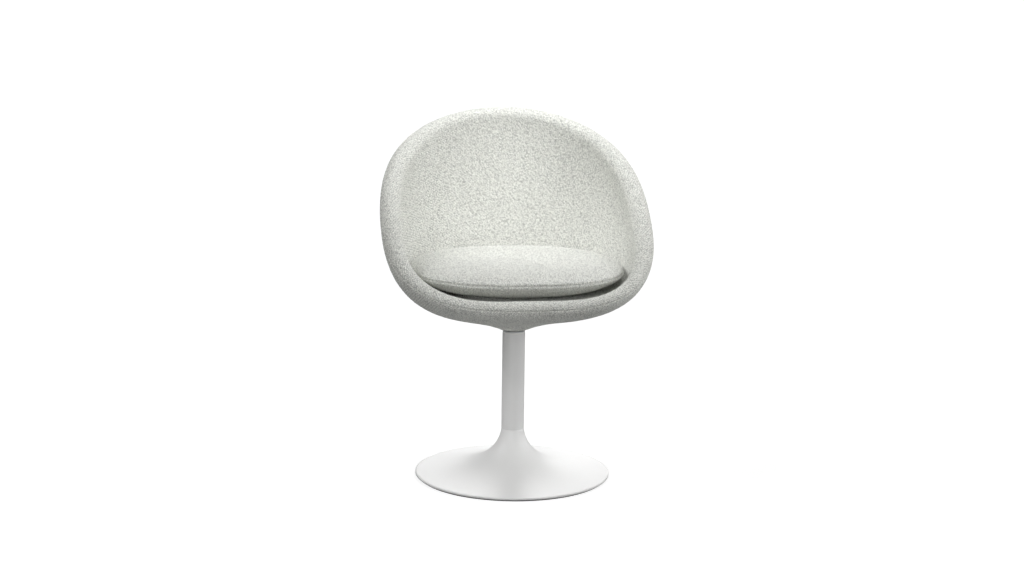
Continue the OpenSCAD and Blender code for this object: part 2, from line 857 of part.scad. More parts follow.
// Lower face of the cushion from the seam in to its flat underside
function lower_line(i, inset) = concat(
    [cushion_point(i, 1, seam_h - seam_split, seam_tuck + inset)],
    [for (ring = under_rings)
        let (h = cushion_h + inset + ring[1] * (cushion_seam_h - inset * under_squeeze))
        cushion_point(i, ring[0], h, inset)]);

module cushion_top_cover() {
    lines = [for (i = [0 : cushion_sides - 1])
        let (outer = upper_line(i, 0), inner = upper_line(i, fabric_t))
        concat(inner, [for (k = [len(outer) - 1 : -1 : 0]) outer[k]])];
    count = len(lines[0]);
    color(boucle_white)
        pole_solid(cushion_pole + [0, 0, crown_at(0) - fabric_t], lines, cushion_pole + [0, 0, crown_at(0)],
            [count / 2, count]);
}

module cushion_bottom_cover() {
    lines = [for (i = [0 : cushion_sides - 1])
        let (outer = lower_line(i, 0), inner = lower_line(i, fabric_t))
        concat([for (k = [len(outer) - 1 : -1 : 0]) outer[k]], inner)];
    color(boucle_white)
        pole_solid(cushion_pole + [0, 0, cushion_h], lines, cushion_pole + [0, 0, cushion_h + fabric_t],
            [0, len(lines[0]) / 2]);
}

module cushion_foam() {
    depth = fabric_t + layer_gap;
    lines = [for (i = [0 : cushion_sides - 1])
        let (upper = upper_line(i, depth), lower = lower_line(i, depth), m = len(upper) - 2)
        concat(
            [for (k = [len(lower) - 1 : -1 : 1]) lower[k]],
            [cushion_point(i, 1, seam_h, seam_tuck + depth)],
            [for (k = [m : -1 : 0]) upper[k]])];
    color(foam_cream)
        pole_solid(cushion_pole + [0, 0, cushion_h + depth], lines,
            cushion_pole + [0, 0, crown_at(0) - depth], [0, len(lines[0])]);
}

trumpet_base();
base_ballast();
base_glide_ring();
joint_ring();
stand_tube();
tube_plug();
tie_rod();
tie_washer();
tie_nut();
guide_sleeve();
lower_race();
ball_cage();
bearing_balls();
upper_race();
swivel_spindle();
spindle_washer();
spindle_clip();
spindle_hub();
swivel_plate();
plate_bolts();
bolt_washers();
board_nuts();
seat_board();
neck_shroud();
shell_core();
outer_pad();
outer_cover();
inner_foam();
inner_cover();
hook_discs();
cushion_foam();
cushion_top_cover();
cushion_bottom_cover();
loop_discs();
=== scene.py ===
"""Pedestal swivel armchair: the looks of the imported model, laid out as an add-on and run as a script.

Metres, +Z up. The origin is on the floor, on the column's axis, and the chair faces -Y.
"""
import json
import math

import bpy
import numpy as np
from bpy.props import FloatProperty, FloatVectorProperty, IntProperty, PointerProperty
from mathutils import Matrix, Vector
from mathutils.bvhtree import BVHTree


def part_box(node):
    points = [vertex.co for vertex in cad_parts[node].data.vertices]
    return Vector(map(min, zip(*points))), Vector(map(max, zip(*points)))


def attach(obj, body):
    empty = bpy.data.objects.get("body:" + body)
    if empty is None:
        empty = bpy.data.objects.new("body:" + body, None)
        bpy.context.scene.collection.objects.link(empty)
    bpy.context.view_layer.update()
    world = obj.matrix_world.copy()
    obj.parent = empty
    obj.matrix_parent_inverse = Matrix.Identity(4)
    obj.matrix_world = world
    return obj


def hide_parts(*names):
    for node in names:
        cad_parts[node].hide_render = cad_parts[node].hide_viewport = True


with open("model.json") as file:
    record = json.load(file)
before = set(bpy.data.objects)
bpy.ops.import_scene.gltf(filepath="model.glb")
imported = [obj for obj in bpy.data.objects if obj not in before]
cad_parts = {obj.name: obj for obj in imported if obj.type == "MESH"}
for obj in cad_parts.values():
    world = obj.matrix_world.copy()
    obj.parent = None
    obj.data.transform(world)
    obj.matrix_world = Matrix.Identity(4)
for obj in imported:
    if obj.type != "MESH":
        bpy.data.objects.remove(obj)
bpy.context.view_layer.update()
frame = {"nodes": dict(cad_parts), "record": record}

bl_info = {
    "name": "Pedestal Swivel Armchair",
    "version": (1, 0, 0),
    "blender": (4, 5, 0),
    "location": "View3D > Sidebar > Armchair",
    "description": "Builds the fabric, the cushion, the column and base, and the studio of a swivel armchair",
    "category": "Object",
}

TUBE_BOX, TRUMPET_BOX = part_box("stand_tube"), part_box("trumpet_base")
TAU = 2 * math.pi


def node_reach(node):
    """Greatest distance of a node's box from the column's axis."""
    return max(abs(v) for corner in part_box(node) for v in corner[:2])


# -------- settings


def number(label, text, default, **more):
    return FloatProperty(name=label, description=text, default=default, **more)


def length(label, text, default):
    return number(label, text, default, min=0, unit="LENGTH", precision=4)


class ArmchairBucketSettings(bpy.types.PropertyGroup):
    half_width: length("Half width", "Half the bucket's width over its rolled rim", 0.295)
    front: length("Front reach", "Reach of the front lip in front of the column axis", 0.275)
    back: length("Back reach", "Reach of the rim at the back behind the column axis", 0.261)
    widest_forward: length("Widest place", "How far the widest place lies in front of the column axis", 0.028)
    top_h: length("Back height", "Height of the top of the back", 0.791)
    side_h: length("Side height", "Height of the rim at the sides", 0.589)
    lip_h: length("Lip height", "Height of the front lip", 0.445)
    neck_h: length("Neck height", "Height of the fabric's lower edge at the column", 0.330)
    neck_r: length("Neck radius", "Radius of the fabric's lower edge at the column", 0.030)
    floor_h: length("Floor height", "Height of the bucket's floor", 0.431)
    fabric_t: length("Fabric thickness", "Thickness of the upholstery fabric", 0.0022)
    pad_t: length("Outer foam thickness", "Thickness of the foam outside the shell", 0.004)
    shell_t: length("Shell thickness", "Thickness of the moulded shell", 0.006)
    groove_depth: length("Seam depth", "Depth of the sewn seam below the rim", 0.0026)
    groove_width: length("Seam width", "Half width of the hollow along the seam", 0.0035)


class ArmchairCushionSettings(bpy.types.PropertyGroup):
    half_width: length("Half width", "Half the cushion's width at its seam", 0.233)
    half_depth: length("Half depth", "Half the cushion's depth at its seam", 0.213)
    forward: length("Forward", "How far the cushion's centre lies in front of the column axis", 0.026)
    underside_h: length("Underside height", "Height of the cushion's underside", 0.434)
    seam_h: length("Seam height", "Height of the cushion's seam", 0.469)
    crown: length("Crown", "Rise of the crown above the seam", 0.022)
    seam_depth: length("Seam depth", "Depth of the sewn seam round the edge", 0.0036)
    seam_width: length("Seam width", "Half width of the hollow along the seam", 0.006)
    puff: length("Puff", "Most that the simulated filling moves the cover", 0.003)
    pressure: number("Pressure", "Pressure of the filling", 4, min=0)


class ArmchairStandSettings(bpy.types.PropertyGroup):
    base_r: length("Base radius", "Radius of the trumpet base", node_reach("trumpet_base"))
    column_r: length("Column radius", "Radius of the column", node_reach("stand_tube"))
    column_top: length("Column top", "Height of the column's upper end", TUBE_BOX[1].z)
    joint_h: length("Joint height", "Height of the joint between column and trumpet", TUBE_BOX[0].z)
    edge_h: length("Edge height", "Height of the trumpet's outer edge", 0.007)
    edge_under: length("Edge underside", "Height of the trumpet's underside at its edge", TRUMPET_BOX[0].z)
    wall: length("Wall", "Wall of trumpet and column", 0.002)
    segments: IntProperty(name="Segments", description="Sides of the turned pieces", default=256, min=24)


class ArmchairFabricSettings(bpy.types.PropertyGroup):
    grid: length("Grid", "Spacing of the points that carry the weave", 0.0018)
    rib: length("Rib spacing", "Distance between two diagonal ribs", 0.0042)
    nub: length("Nub spacing", "Distance between two nubs along a rib", 0.0044)
    loop: length("Loop size", "Size of the small curls of the yarn", 0.0026)
    relief: length("Relief", "Height of the nubs above the hollows between them", 0.0022)
    colour: FloatVectorProperty(
        name="Colour", description="Colour of the yarn", subtype="COLOR", size=3, default=(0.93, 0.94, 0.885))
    jitter: number(
        "Jitter", "How far a nub may lie off the middle of its cell, as a share", 0.25, min=0, max=1)
    # Hollow: painted shade, the brightness that the colour is given in the hollows between nubs
    hollow: number("Hollow", "Brightness of the hollows between nubs", 0.62, min=0, max=1)


class ArmchairStageSettings(bpy.types.PropertyGroup):
    azimuth: number("Azimuth", "Camera's angle round the chair", math.radians(-7.88), subtype="ANGLE")
    distance: length("Distance", "Camera's distance from the column axis", 4.5)
    height: length("Height", "Camera's height", 1.3286)
    aim_h: length("Aim height", "Height at which the camera looks", 0.4232)
    lens: number("Lens", "Focal length in mm on a 36 mm wide sensor", 73.75)
    level: number("Lamps", "Factor on the strength of every lamp", 1)
    world_level: number("World", "Brightness of the light from all round", 0.05)


SETTINGS = {
    "armchair_bucket": ArmchairBucketSettings,
    "armchair_cushion": ArmchairCushionSettings,
    "armchair_stand": ArmchairStandSettings,
    "armchair_fabric": ArmchairFabricSettings,
    "armchair_stage": ArmchairStageSettings,
}


# -------- form of the bucket

# Each triple holds the values at the front, at the sides and at the back, as in the part's source
RIM_R = (0.016, 0.022, 0.020)
RIM_POWER, BELLY_POWER, FOOT_POWER = 2.39, 2.64, 2.55
RIM_SAG = 0.037
CORNER_SLIM, CORNER_DIP = 0.004, 0.004
LEAN = (79, 94, 111)
STRAIGHT = (0.029, 0.030, 0.160)
BELLY_INSET = (0.053, 0.028, 0.025)
BELLY_H = (0.380, 0.343, 0.279)
THROAT = (0.114, 0.113, 0.104)
THROAT_H = (0.377, 0.368, 0.365)
ROLL_END = (150, 187, 164)
DROP = (0.5, 0.52, 0.32)
FOOT = (0.244, 0.240, 0.226)
FLOOR_EDGE = (0.236, 0.190, 0.160)
ROLL_ROWS, WALL_SAMPLES = 48, 240
# The rows nearest the middle of the floor, and the share of the way to it that they cover
MIDDLE_ROWS, MIDDLE_SHARE = 12, 0.6


def blend3(values, e):
    """Value between those at the front (e = -1), at the side (0) and at the back (1)."""
    front, side, back = values
    return side + (back - front) / 2 * e + ((back + front) / 2 - side) * e * e


def at_corner(e):
    """Share of the slimming and dipping of the rim between its front and its sides."""
    return np.where(e < 0, 4 * e * e * (1 - e * e), 0)


def unit(v):
    return v / np.linalg.norm(v, axis=-1, keepdims=True)


def oval(side, front, back, power, a):
    """Points of a rounded oval at azimuths a, which run from -Y towards +X."""
    s, c = np.sin(a), np.cos(a)
    r = ((np.abs(s) / side) ** power + (np.abs(c) / np.where(c > 0, front, back)) ** power) ** (-1 / power)
    return np.stack([r * s, -r * c], -1)


def bezier(points, t):
    """Point at each t of the curve with these control points, for every azimuth at once."""
    n = len(points) - 1
    t = np.asarray(t)[None, :, None]
    return sum(math.comb(n, k) * t**k * (1 - t) ** (n - k) * p[:, None, :] for k, p in enumerate(points))


def raised(flat, h):
    """Flat points at height h."""
    return np.concatenate([flat, np.broadcast_to(h, flat.shape[:1])[:, None]], 1)


class BucketForm:
    """The bucket's surface, from the same rule and sizes as in the part's source."""

    def __init__(self, size):
        self.size = size

    def around(self, values, power, a):
        """Oval about the bucket's widest place, from reaches (front, side, back) off the column's axis."""
        front, side, back = values
        forward = self.size.widest_forward
        return oval(side, front - forward, back + forward, power, a) - [0, forward]

    def rim_centre(self, a):
        s, e = self.size, -np.cos(a)
        flat = self.around((s.front - RIM_R[0], s.half_width - RIM_R[1], s.back - RIM_R[2]), RIM_POWER, a)
        out = unit(flat + [0, s.widest_forward])
        h = blend3((s.lip_h - RIM_R[0], s.side_h - RIM_R[1], s.top_h - RIM_R[2]), e)
        h = h - RIM_SAG * (e * e * e - e) - CORNER_DIP * at_corner(e)
        return raised(flat + CORNER_SLIM * at_corner(e)[:, None] * out, h)

    def rim(self, a):
        """Centre, outward and upward directions and radius of the rolled rim."""
        e, step = -np.cos(a), math.radians(0.1)
        along = unit(self.rim_centre(a + step) - self.rim_centre(a - step))
        flat = unit(np.stack([along[:, 1], -along[:, 0], 0 * a], 1))
        lean = np.radians(blend3(LEAN, e))[:, None]
        tilted = flat * np.sin(lean) - np.cos(lean) * [0, 0, 1]
        out = unit(tilted - (tilted * along).sum(1, keepdims=True) * along)
        radius = (blend3(RIM_R, e) - CORNER_SLIM * at_corner(e))[:, None]
        return self.rim_centre(a), out, np.cross(out, along), radius

    def wall(self, a):
        """Control points of the outer wall, from the neck up to the seam."""
        s, e = self.size, -np.cos(a)
        centre, out, up, r = self.rim(a)
        belly = [reach - inset for reach, inset in zip((s.front, s.half_width, s.back), BELLY_INSET)]
        throat = oval(THROAT[1], THROAT[0], THROAT[2], 2, a)
        seam = centre + r * out
        return [
            raised(s.neck_r * np.stack([np.sin(a), -np.cos(a)], 1), s.neck_h),
            raised(throat, blend3(THROAT_H, e)),
            raised(self.around(belly, BELLY_POWER, a), blend3(BELLY_H, e)),
            seam - blend3(STRAIGHT, e)[:, None] * up,
            seam,
        ]

    def lining(self, a):
        """Points over the rolled rim, down the inner wall and on to the floor's middle."""
        s, e = self.size, -np.cos(a)
        centre, out, up, r = self.rim(a)
        end = np.radians(blend3(ROLL_END, e))
        turn = end[:, None, None] * np.linspace(0, 1, ROLL_ROWS)[None, :, None]
        roll = centre[:, None] + r[:, None] * (np.cos(turn) * out[:, None] + np.sin(turn) * up[:, None])
        top = roll[:, -1]
        down = np.cos(end)[:, None] * up - np.sin(end)[:, None] * out
        drop = (blend3(DROP, e) * (top[:, 2] - s.floor_h))[:, None]
        foot = raised(self.around(FOOT, FOOT_POWER, a), s.floor_h)
        edge = raised(self.around(FLOOR_EDGE, FOOT_POWER, a), s.floor_h)
        wall = bezier([top, top + drop * down, foot, edge], np.linspace(0, 1, WALL_SAMPLES))
        middle = np.array([0, -s.widest_forward, s.floor_h])
        share = np.linspace(0, MIDDLE_SHARE, MIDDLE_ROWS)
        inner = edge[:, None] + (middle - edge)[:, None] * share[None, :, None]
        return np.concatenate([roll, wall[:, 1:], inner[:, 1:]], 1)


def distances(lines):
    """Distance of each point from the start of its line."""
    steps = np.linalg.norm(np.diff(lines, axis=1), axis=2)
    return np.concatenate([np.zeros((len(lines), 1)), np.cumsum(steps, 1)], 1)


def spaced(lines, rows):
    """Each line's points spread evenly along it, with their distances from its start."""
    along = distances(lines)
    out = np.empty((len(lines), rows, 3))
    share = np.linspace(0, 1, rows)
    for i, (line, s) in enumerate(zip(lines, along)):
        for k in range(3):
            out[i, :, k] = np.interp(share * s[-1], s, line[:, k])
    return out, share[None, :] * along[:, -1:]


def grid_normals(points):
    """Directions out of a grid of points whose first index goes round."""
    around = np.roll(points, -1, 0) - np.roll(points, 1, 0)
    down = np.gradient(points, axis=1)
    return unit(np.cross(around, down))


# -------- weave


# Width of a nub across and along its rib in its cell, lowest nub and range of the nubs' heights
NUB_ACROSS, NUB_ALONG, NUB_LOW, NUB_RANGE = 0.36, 0.6, 0.68, 0.32
# Relief that lies in the fabric's surface, and that of its hidden side, where it only sets how much painted
# shade the colour gets
RELIEF_MID, RELIEF_UNDER = 0.6, 0.5
# Cells after which an open pattern repeats
OPEN_CELLS = 10**6
CHANCE_PRIMES, CHANCE_FACTOR = (73856093, 19349663, 83492791), 1274126177


def chance(*cells):
    """A number from 0 to 1 for each cell, the same on every run."""
    value = sum((cell.astype(np.int64) + 7) * prime for cell, prime in zip(cells, CHANCE_PRIMES))
    value = (value ^ (value >> 13)) * CHANCE_FACTOR & 0x7FFFFFFF
    return ((value ^ (value >> 16)) & 0xFFFF) / 0xFFFF


def weave(u, v, fabric, around=0.0):
    """Relief from 0 to 1 and tint from -1 to 1 of the fabric at u, v. Ribs run along u + v = constant.

    Each nub lies at a random place of its own cell. The pattern closes on itself where u grows by around.
    """
    spread = math.sqrt(2)
    ribs = 2 * max(1, round(around / (fabric.rib * spread) / 2)) if around else OPEN_CELLS
    nubs = max(1, round(around / (fabric.nub * spread))) if around else OPEN_CELLS
    rib_step = around / ribs if around else fabric.rib * spread
    nub_step = around / nubs if around else fabric.nub * spread
    p = (u + v) / rib_step
    q = (u - v) / nub_step
    row = np.floor(p)
    relief, tint = np.zeros(p.shape), np.zeros(p.shape)
    for r in (row - 1, row, row + 1):
        along = q + 0.5 * np.mod(r, 2)
        for cell in (np.floor(along) - 1, np.floor(along), np.floor(along) + 1):
            key = np.mod(r, ribs), np.mod(cell, nubs)
            dice, left, up = chance(*key), chance(key[1], key[0]), chance(key[0], key[1], key[0] + 5)
            across = (p - r - 0.5 - fabric.jitter * (left - 0.5)) / NUB_ACROSS
            ahead = (along - cell - 0.5 - fabric.jitter * (up - 0.5)) / NUB_ALONG
            nub = (NUB_LOW + NUB_RANGE * dice) * np.exp(-across * across - ahead * ahead)
            tint = np.where(nub > relief, 2 * left - 1, tint)
            relief = np.maximum(relief, nub)
    return relief, tint


# -------- meshes


HOLLOW_POWER = 2.2


def linked(name, data):
    """Object of this data in the scene."""
    obj = bpy.data.objects.new(name, data)
    bpy.context.scene.collection.objects.link(obj)
    return obj


def new_object(name, vertices, faces, finish, **attributes):
    """A mesh object at the origin. Each attribute holds one number for each point."""
    mesh = bpy.data.meshes.new(name)
    mesh.vertices.add(len(vertices))
    mesh.vertices.foreach_set("co", np.asarray(vertices, np.float32).ravel())
    sizes = np.array([len(face) for face in faces])
    flat = np.concatenate([*faces])
    mesh.loops.add(len(flat))
    mesh.loops.foreach_set("vertex_index", flat.astype(np.int32))
    mesh.polygons.add(len(sizes))
    mesh.polygons.foreach_set("loop_start", np.concatenate([[0], np.cumsum(sizes)[:-1]]).astype(np.int32))
    mesh.polygons.foreach_set("use_smooth", np.full(len(sizes), True))
    mesh.update(calc_edges=True)
    mesh.validate()
    for key, values in attributes.items():
        layer = mesh.attributes.new(key, "FLOAT", "POINT")
        layer.data.foreach_set("value", np.asarray(values, np.float32).ravel())
    if finish:
        mesh.materials.append(bpy.data.materials[finish])
    return linked(name, mesh)


def quads(columns, rows, closed):
    """Faces of a grid that goes round in columns, and in rows too where it is closed."""
    i, j = np.meshgrid(np.arange(columns), np.arange(rows if closed else rows - 1), indexing="ij")
    i2, j2 = (i + 1) % columns, (j + 1) % rows
    return np.stack([i * rows + j, i * rows + j2, i2 * rows + j2, i2 * rows + j], -1).reshape(-1, 4)


def pole_grid(name, grid, start, end, finish, **attributes):
    """Closed solid from a grid of lines that all run from the start pole to the end pole."""
    columns, rows = grid.shape[:2]
    first, last = columns * rows, columns * rows + 1
    i = np.arange(columns)
    j = (i + 1) % columns
    faces = [*quads(columns, rows, False)]
    faces += [*np.stack([np.full(columns, first), i * rows, j * rows], 1)]
    faces += [*np.stack([i * rows + rows - 1, np.full(columns, last), j * rows + rows - 1], 1)]
    points = np.concatenate([grid.reshape(-1, 3), [start, end]])
    padded = {k: np.concatenate([v.ravel(), v[:, 0].mean(keepdims=True), v[:, -1].mean(keepdims=True)])
              for k, v in attributes.items()}
    return new_object(name, points, faces, finish, **padded)


def hollowed(distance, width, depth):
    """Depth of a rounded seam hollow at this distance from the seam."""
    return depth * np.clip(1 - distance / width, 0, 1) ** HOLLOW_POWER

# -------- nodes


def fill(tree, socket, value):
    """Links an input socket to an output socket, or gives it a plain value."""
    if isinstance(value, bpy.types.NodeSocket):
        tree.links.new(value, socket)
    else:
        socket.default_value = value


def new_node(tree, kind, settings=(), **sockets):
    """A node with these settings, and with a source or a value for each named input socket."""
    node = tree.nodes.new(kind)
    for key, value in dict(settings).items():
        setattr(node, key, value)
    for key, value in sockets.items():
        fill(tree, node.inputs[key.replace("_", " ")], value)
    return node


def maths(tree, operation, a, b):
    node = new_node(tree, "ShaderNodeMath", {"operation": operation})
    for socket, value in zip(node.inputs, (a, b)):
        fill(tree, socket, value)
    return node.outputs[0]


# -------- materials


class Finish:
    """A node material that is being put together."""

    def __init__(self, name, colour, **sockets):
        plain = bpy.data.materials.get(name)
        if plain:
            plain.name = "plain_" + name
        made = bpy.data.materials.new(name)
        made.use_nodes = True
        made.diffuse_color = (*colour, 1)
        self.tree = made.node_tree
        self.shader = self.tree.nodes["Principled BSDF"]
        self.set(Base_Color=(*colour, 1), **sockets)
        self.place = self.add("ShaderNodeTexCoord").outputs["Object"]

    def add(self, kind, settings=(), **sockets):
        return new_node(self.tree, kind, settings, **sockets)

    def set(self, **sockets):
        """Gives each named input of the shader its source or value."""
        for key, value in sockets.items():
            fill(self.tree, self.shader.inputs[key.replace("_", " ")], value)

    def stretched(self, *scale):
        """Object coordinates with their own scale on each axis."""
        return self.add("ShaderNodeMapping", Scale=scale, Vector=self.place).outputs["Vector"]

    def noise(self, scale, detail=2.0, roughness=0.5, where=None):
        return self.add("ShaderNodeTexNoise", Scale=scale, Detail=detail, Roughness=roughness,
                        Vector=where or self.place).outputs["Fac"]

    def cells(self, scale):
        return self.add("ShaderNodeTexVoronoi", Scale=scale, Vector=self.place).outputs["Distance"]

    def attribute(self, name):
        return self.add("ShaderNodeAttribute", {"attribute_name": name}).outputs["Fac"]

    def ranged(self, source, low, high, from_low=0.0, from_high=1.0):
        """Source whose range from from_low to from_high is brought to low to high."""
        return self.add("ShaderNodeMapRange", From_Min=from_low, From_Max=from_high, To_Min=low, To_Max=high,
                        Value=source).outputs["Result"]

    def product(self, first, *factors):
        for factor in factors:
            first = maths(self.tree, "MULTIPLY", first, factor)
        return first

    def between(self, fac, dark, light):
        """Colour that goes from dark to light with fac."""
        node = self.add("ShaderNodeMix", {"data_type": "RGBA"})
        # The inputs of this data type have no names of their own
        for k, value in ((0, fac), (6, (*dark, 1)), (7, (*light, 1))):
            fill(self.tree, node.inputs[k], value)
        return node.outputs[2]

    def bump(self, height, distance, strength):
        """Adds a bump on top of the ones that are there."""
        normal = self.shader.inputs["Normal"]
        node = self.add("ShaderNodeBump", Distance=distance, Strength=strength, Height=height)
        if normal.links:
            fill(self.tree, node.inputs["Normal"], normal.links[0].from_socket)
        fill(self.tree, normal, node.outputs["Normal"])


def shade(colour, level):
    return tuple(c * level for c in colour)


# Painted light on the tops of the nubs, as a factor on the yarn's colour, which the painted shade at the
# curls' edges darkens again
NUB_TOP_LIGHT = 1.26
# Painted shading of the yarn's curls: brightness at the middle of each and painted shade at its edge, and the
# distances at which these are reached
CURL_LIGHT_AND_SHADE, CURL_REACH = (1.26, 0.58), (0.1, 0.8)


def fabric_finish(fabric):
    """Chunky off-white weave: fuzzy yarn over the modelled nubs, with painted shade in the hollows between
    them and at the edges of the yarn's curls.
    """
    colour = tuple(fabric.colour)
    f = Finish("boucle", colour, Roughness=0.95, Sheen_Weight=0.25, Sheen_Roughness=0.6,
               Specular_IOR_Level=0.15)
    # Painted shade: the colour darkens from the nubs' tops into the hollows between them, following the
    # relief
    relief = f.ranged(f.attribute("relief"), fabric.hollow, NUB_TOP_LIGHT)
    tint = f.ranged(f.attribute("tint"), 0.94, 1.04, -1, 1)
    cloudy = f.ranged(f.noise(22, 3), 0.975, 1.025)
    yarn = f.ranged(f.noise(1400, 3, 0.65), 0.93, 1.07)
    loops = f.cells(1 / fabric.loop)
    # Painted shade: each of the yarn's curls is darker at its edge than at its middle
    curl_shade = f.ranged(loops, *CURL_LIGHT_AND_SHADE, *CURL_REACH)
    f.set(Base_Color=f.between(f.product(relief, tint, cloudy, yarn, curl_shade), (0, 0, 0), colour),
          Roughness=f.ranged(f.noise(600), 0.86, 1.0))
    f.bump(maths(f.tree, "SUBTRACT", 1, loops), 0.0009, 0.8)
    f.bump(f.noise(700, 4, 0.7), 0.0005, 0.6)


def thread_finish():
    f = Finish("sewing_thread", (0.72, 0.72, 0.68), Roughness=0.6, Sheen_Weight=0.2)
    f.set(Base_Color=f.between(f.noise(900, 2), (0.62, 0.62, 0.58), (0.76, 0.76, 0.72)))
    f.bump(f.noise(2500, 2, where=f.stretched(1, 1, 3)), 0.0002, 0.5)


def powder_finish():
    colour = (0.72, 0.72, 0.715)
    f = Finish("powder_coat", colour, Roughness=0.42, Specular_IOR_Level=0.45)
    f.set(Base_Color=f.between(f.noise(9, 2), shade(colour, 0.985), colour),
          Roughness=f.ranged(f.noise(60, 3), 0.38, 0.47))
    f.bump(f.noise(900, 2), 0.00006, 0.35)


def steel_finish():
    f = Finish("bare_steel", (0.55, 0.56, 0.57), Metallic=1.0, Roughness=0.35)
    f.set(Base_Color=f.between(f.noise(40, 4), (0.48, 0.49, 0.50), (0.62, 0.63, 0.64)),
          Roughness=f.ranged(f.noise(500, 3, where=f.stretched(1, 1, 0.1)), 0.26, 0.46))
    f.bump(f.noise(1200, 2, where=f.stretched(1, 1, 0.05)), 0.00003, 0.4)


def iron_finish():
    f = Finish("cast_iron", (0.07, 0.072, 0.075), Metallic=0.6, Roughness=0.75)
    f.set(Base_Color=f.between(f.noise(120, 5), (0.05, 0.052, 0.055), (0.11, 0.11, 0.112)),
          Roughness=f.ranged(f.noise(300, 3), 0.62, 0.9))
    f.bump(f.noise(450, 5, 0.7), 0.0006, 0.7)


def plastic_finish(name, colour, roughness):
    f = Finish(name, colour, Roughness=roughness)
    f.set(Base_Color=f.between(f.noise(30, 2), shade(colour, 0.93), colour),
          Roughness=f.ranged(f.noise(350, 3), roughness - 0.07, roughness + 0.07))
    f.bump(f.noise(1500, 3), 0.00005, 0.5)


def plywood_finish():
    f = Finish("plywood", (0.62, 0.46, 0.26), Roughness=0.6)
    veins = f.noise(14, 6, 0.6, where=f.stretched(1, 14, 3))
    plies = f.add("ShaderNodeTexWave", {"bands_direction": "Z"}, Scale=90, Vector=f.place).outputs["Fac"]
    wood = f.product(veins, f.ranged(plies, 0.75, 1))
    f.set(Base_Color=f.between(wood, (0.42, 0.28, 0.13), (0.80, 0.64, 0.42)),
          Roughness=f.ranged(veins, 0.5, 0.72))
    f.bump(veins, 0.0002, 0.5)


def foam_finish():
    f = Finish("foam", (0.85, 0.77, 0.55), Roughness=0.98)
    pores = f.cells(900)
    # Painted shade: the colour is darker at the middle of each pore, where its pit lies
    f.set(Base_Color=f.between(pores, (0.72, 0.63, 0.42), (0.88, 0.80, 0.60)))
    f.bump(pores, 0.0005, 0.8)


def make_finishes():
    fabric_finish(bpy.context.scene.armchair_fabric)
    for make in (thread_finish, powder_finish, steel_finish, iron_finish, plywood_finish, foam_finish):
        make()
    plastic_finish("black_plastic", (0.02, 0.02, 0.021), 0.5)
    plastic_finish("white_plastic", (0.82, 0.82, 0.79), 0.45)
    plastic_finish("grey_shell", (0.26, 0.28, 0.275), 0.55)


# -------- Geometry Nodes

LATHE_R = 1.0
STITCH = {"Spacing": 0.007, "Length": 0.0042, "Thickness": 0.0011}


def node_tree(name, **inputs):
    """Geometry Nodes tree with a geometry input, inputs of the named kinds and a geometry output."""
    tree = bpy.data.node_groups.new(name, "GeometryNodeTree")
    for label, kind in {"Geometry": "Geometry", **inputs}.items():
        tree.interface.new_socket(label, in_out="INPUT", socket_type=f"NodeSocket{kind}")
    tree.interface.new_socket("Geometry", in_out="OUTPUT", socket_type="NodeSocketGeometry")
    return tree, new_node(tree, "NodeGroupInput").outputs


def coated(tree, geometry, finish):
    """Ends a tree with smooth shading and a finish."""
    smooth = new_node(tree, "GeometryNodeSetShadeSmooth", Geometry=geometry)
    paint = new_node(tree, "GeometryNodeSetMaterial", Geometry=smooth.outputs["Geometry"], Material=finish)
    new_node(tree, "NodeGroupOutput", Geometry=paint.outputs["Geometry"])
    return tree


def lathe_tree():
    """Turns a profile line, drawn in the XZ plane, about the Z axis."""
    tree, given = node_tree("turned_profile", Segments="Int", Finish="Material")
    line = new_node(tree, "GeometryNodeMeshToCurve", Mesh=given["Geometry"])
    axis = new_node(tree, "GeometryNodeCurvePrimitiveCircle", Radius=LATHE_R, Resolution=given["Segments"])
    sweep = new_node(tree, "GeometryNodeCurveToMesh", Curve=axis.outputs["Curve"],
                     Profile_Curve=line.outputs["Curve"])
    return coated(tree, sweep.outputs["Mesh"], given["Finish"])


def stitch_tree():
    """Lays a stitch at even spacing along a line, each along the line's direction."""
    tree, given = node_tree(
        "stitches_on_line", Spacing="Float", Length="Float", Thickness="Float", Finish="Material")
    line = new_node(tree, "GeometryNodeMeshToCurve", Mesh=given["Geometry"])
    even = new_node(tree, "GeometryNodeResampleCurve", {"mode": "LENGTH"}, Curve=line.outputs["Curve"],
                    Length=given["Spacing"])
    ball = new_node(tree, "GeometryNodeMeshUVSphere", Segments=6, Rings=5, Radius=0.5)
    form = new_node(tree, "ShaderNodeCombineXYZ", X=given["Length"], Y=given["Thickness"],
                    Z=given["Thickness"])
    stitch = new_node(tree, "GeometryNodeTransform", Geometry=ball.outputs["Mesh"],
                      Scale=form.outputs["Vector"])
    tangent = new_node(tree, "GeometryNodeInputTangent")
    turn = new_node(tree, "FunctionNodeAlignEulerToVector", {"axis": "X"}, Vector=tangent.outputs["Tangent"])
    put = new_node(tree, "GeometryNodeInstanceOnPoints", Points=even.outputs["Curve"],
                   Instance=stitch.outputs["Geometry"], Rotation=turn.outputs["Rotation"])
    whole = new_node(tree, "GeometryNodeRealizeInstances", Geometry=put.outputs["Instances"])
    return coated(tree, whole.outputs["Geometry"], given["Finish"])


def baked_by_nodes(name, source, tree, **inputs):
    """Runs a tree on a source object and keeps the result as a plain mesh object."""
    grow = source.modifiers.new("grow", "NODES")
    grow.node_group = tree
    sockets = {item.name: item.identifier for item in tree.interface.items_tree
               if item.item_type == "SOCKET" and item.in_out == "INPUT"}
    for key, value in inputs.items():
        grow[sockets[key]] = value
    bpy.context.view_layer.update()
    graph = bpy.context.evaluated_depsgraph_get()
    mesh = bpy.data.meshes.new_from_object(source.evaluated_get(graph))
    bpy.data.objects.remove(source)
    mesh.name = name
    return linked(name, mesh)


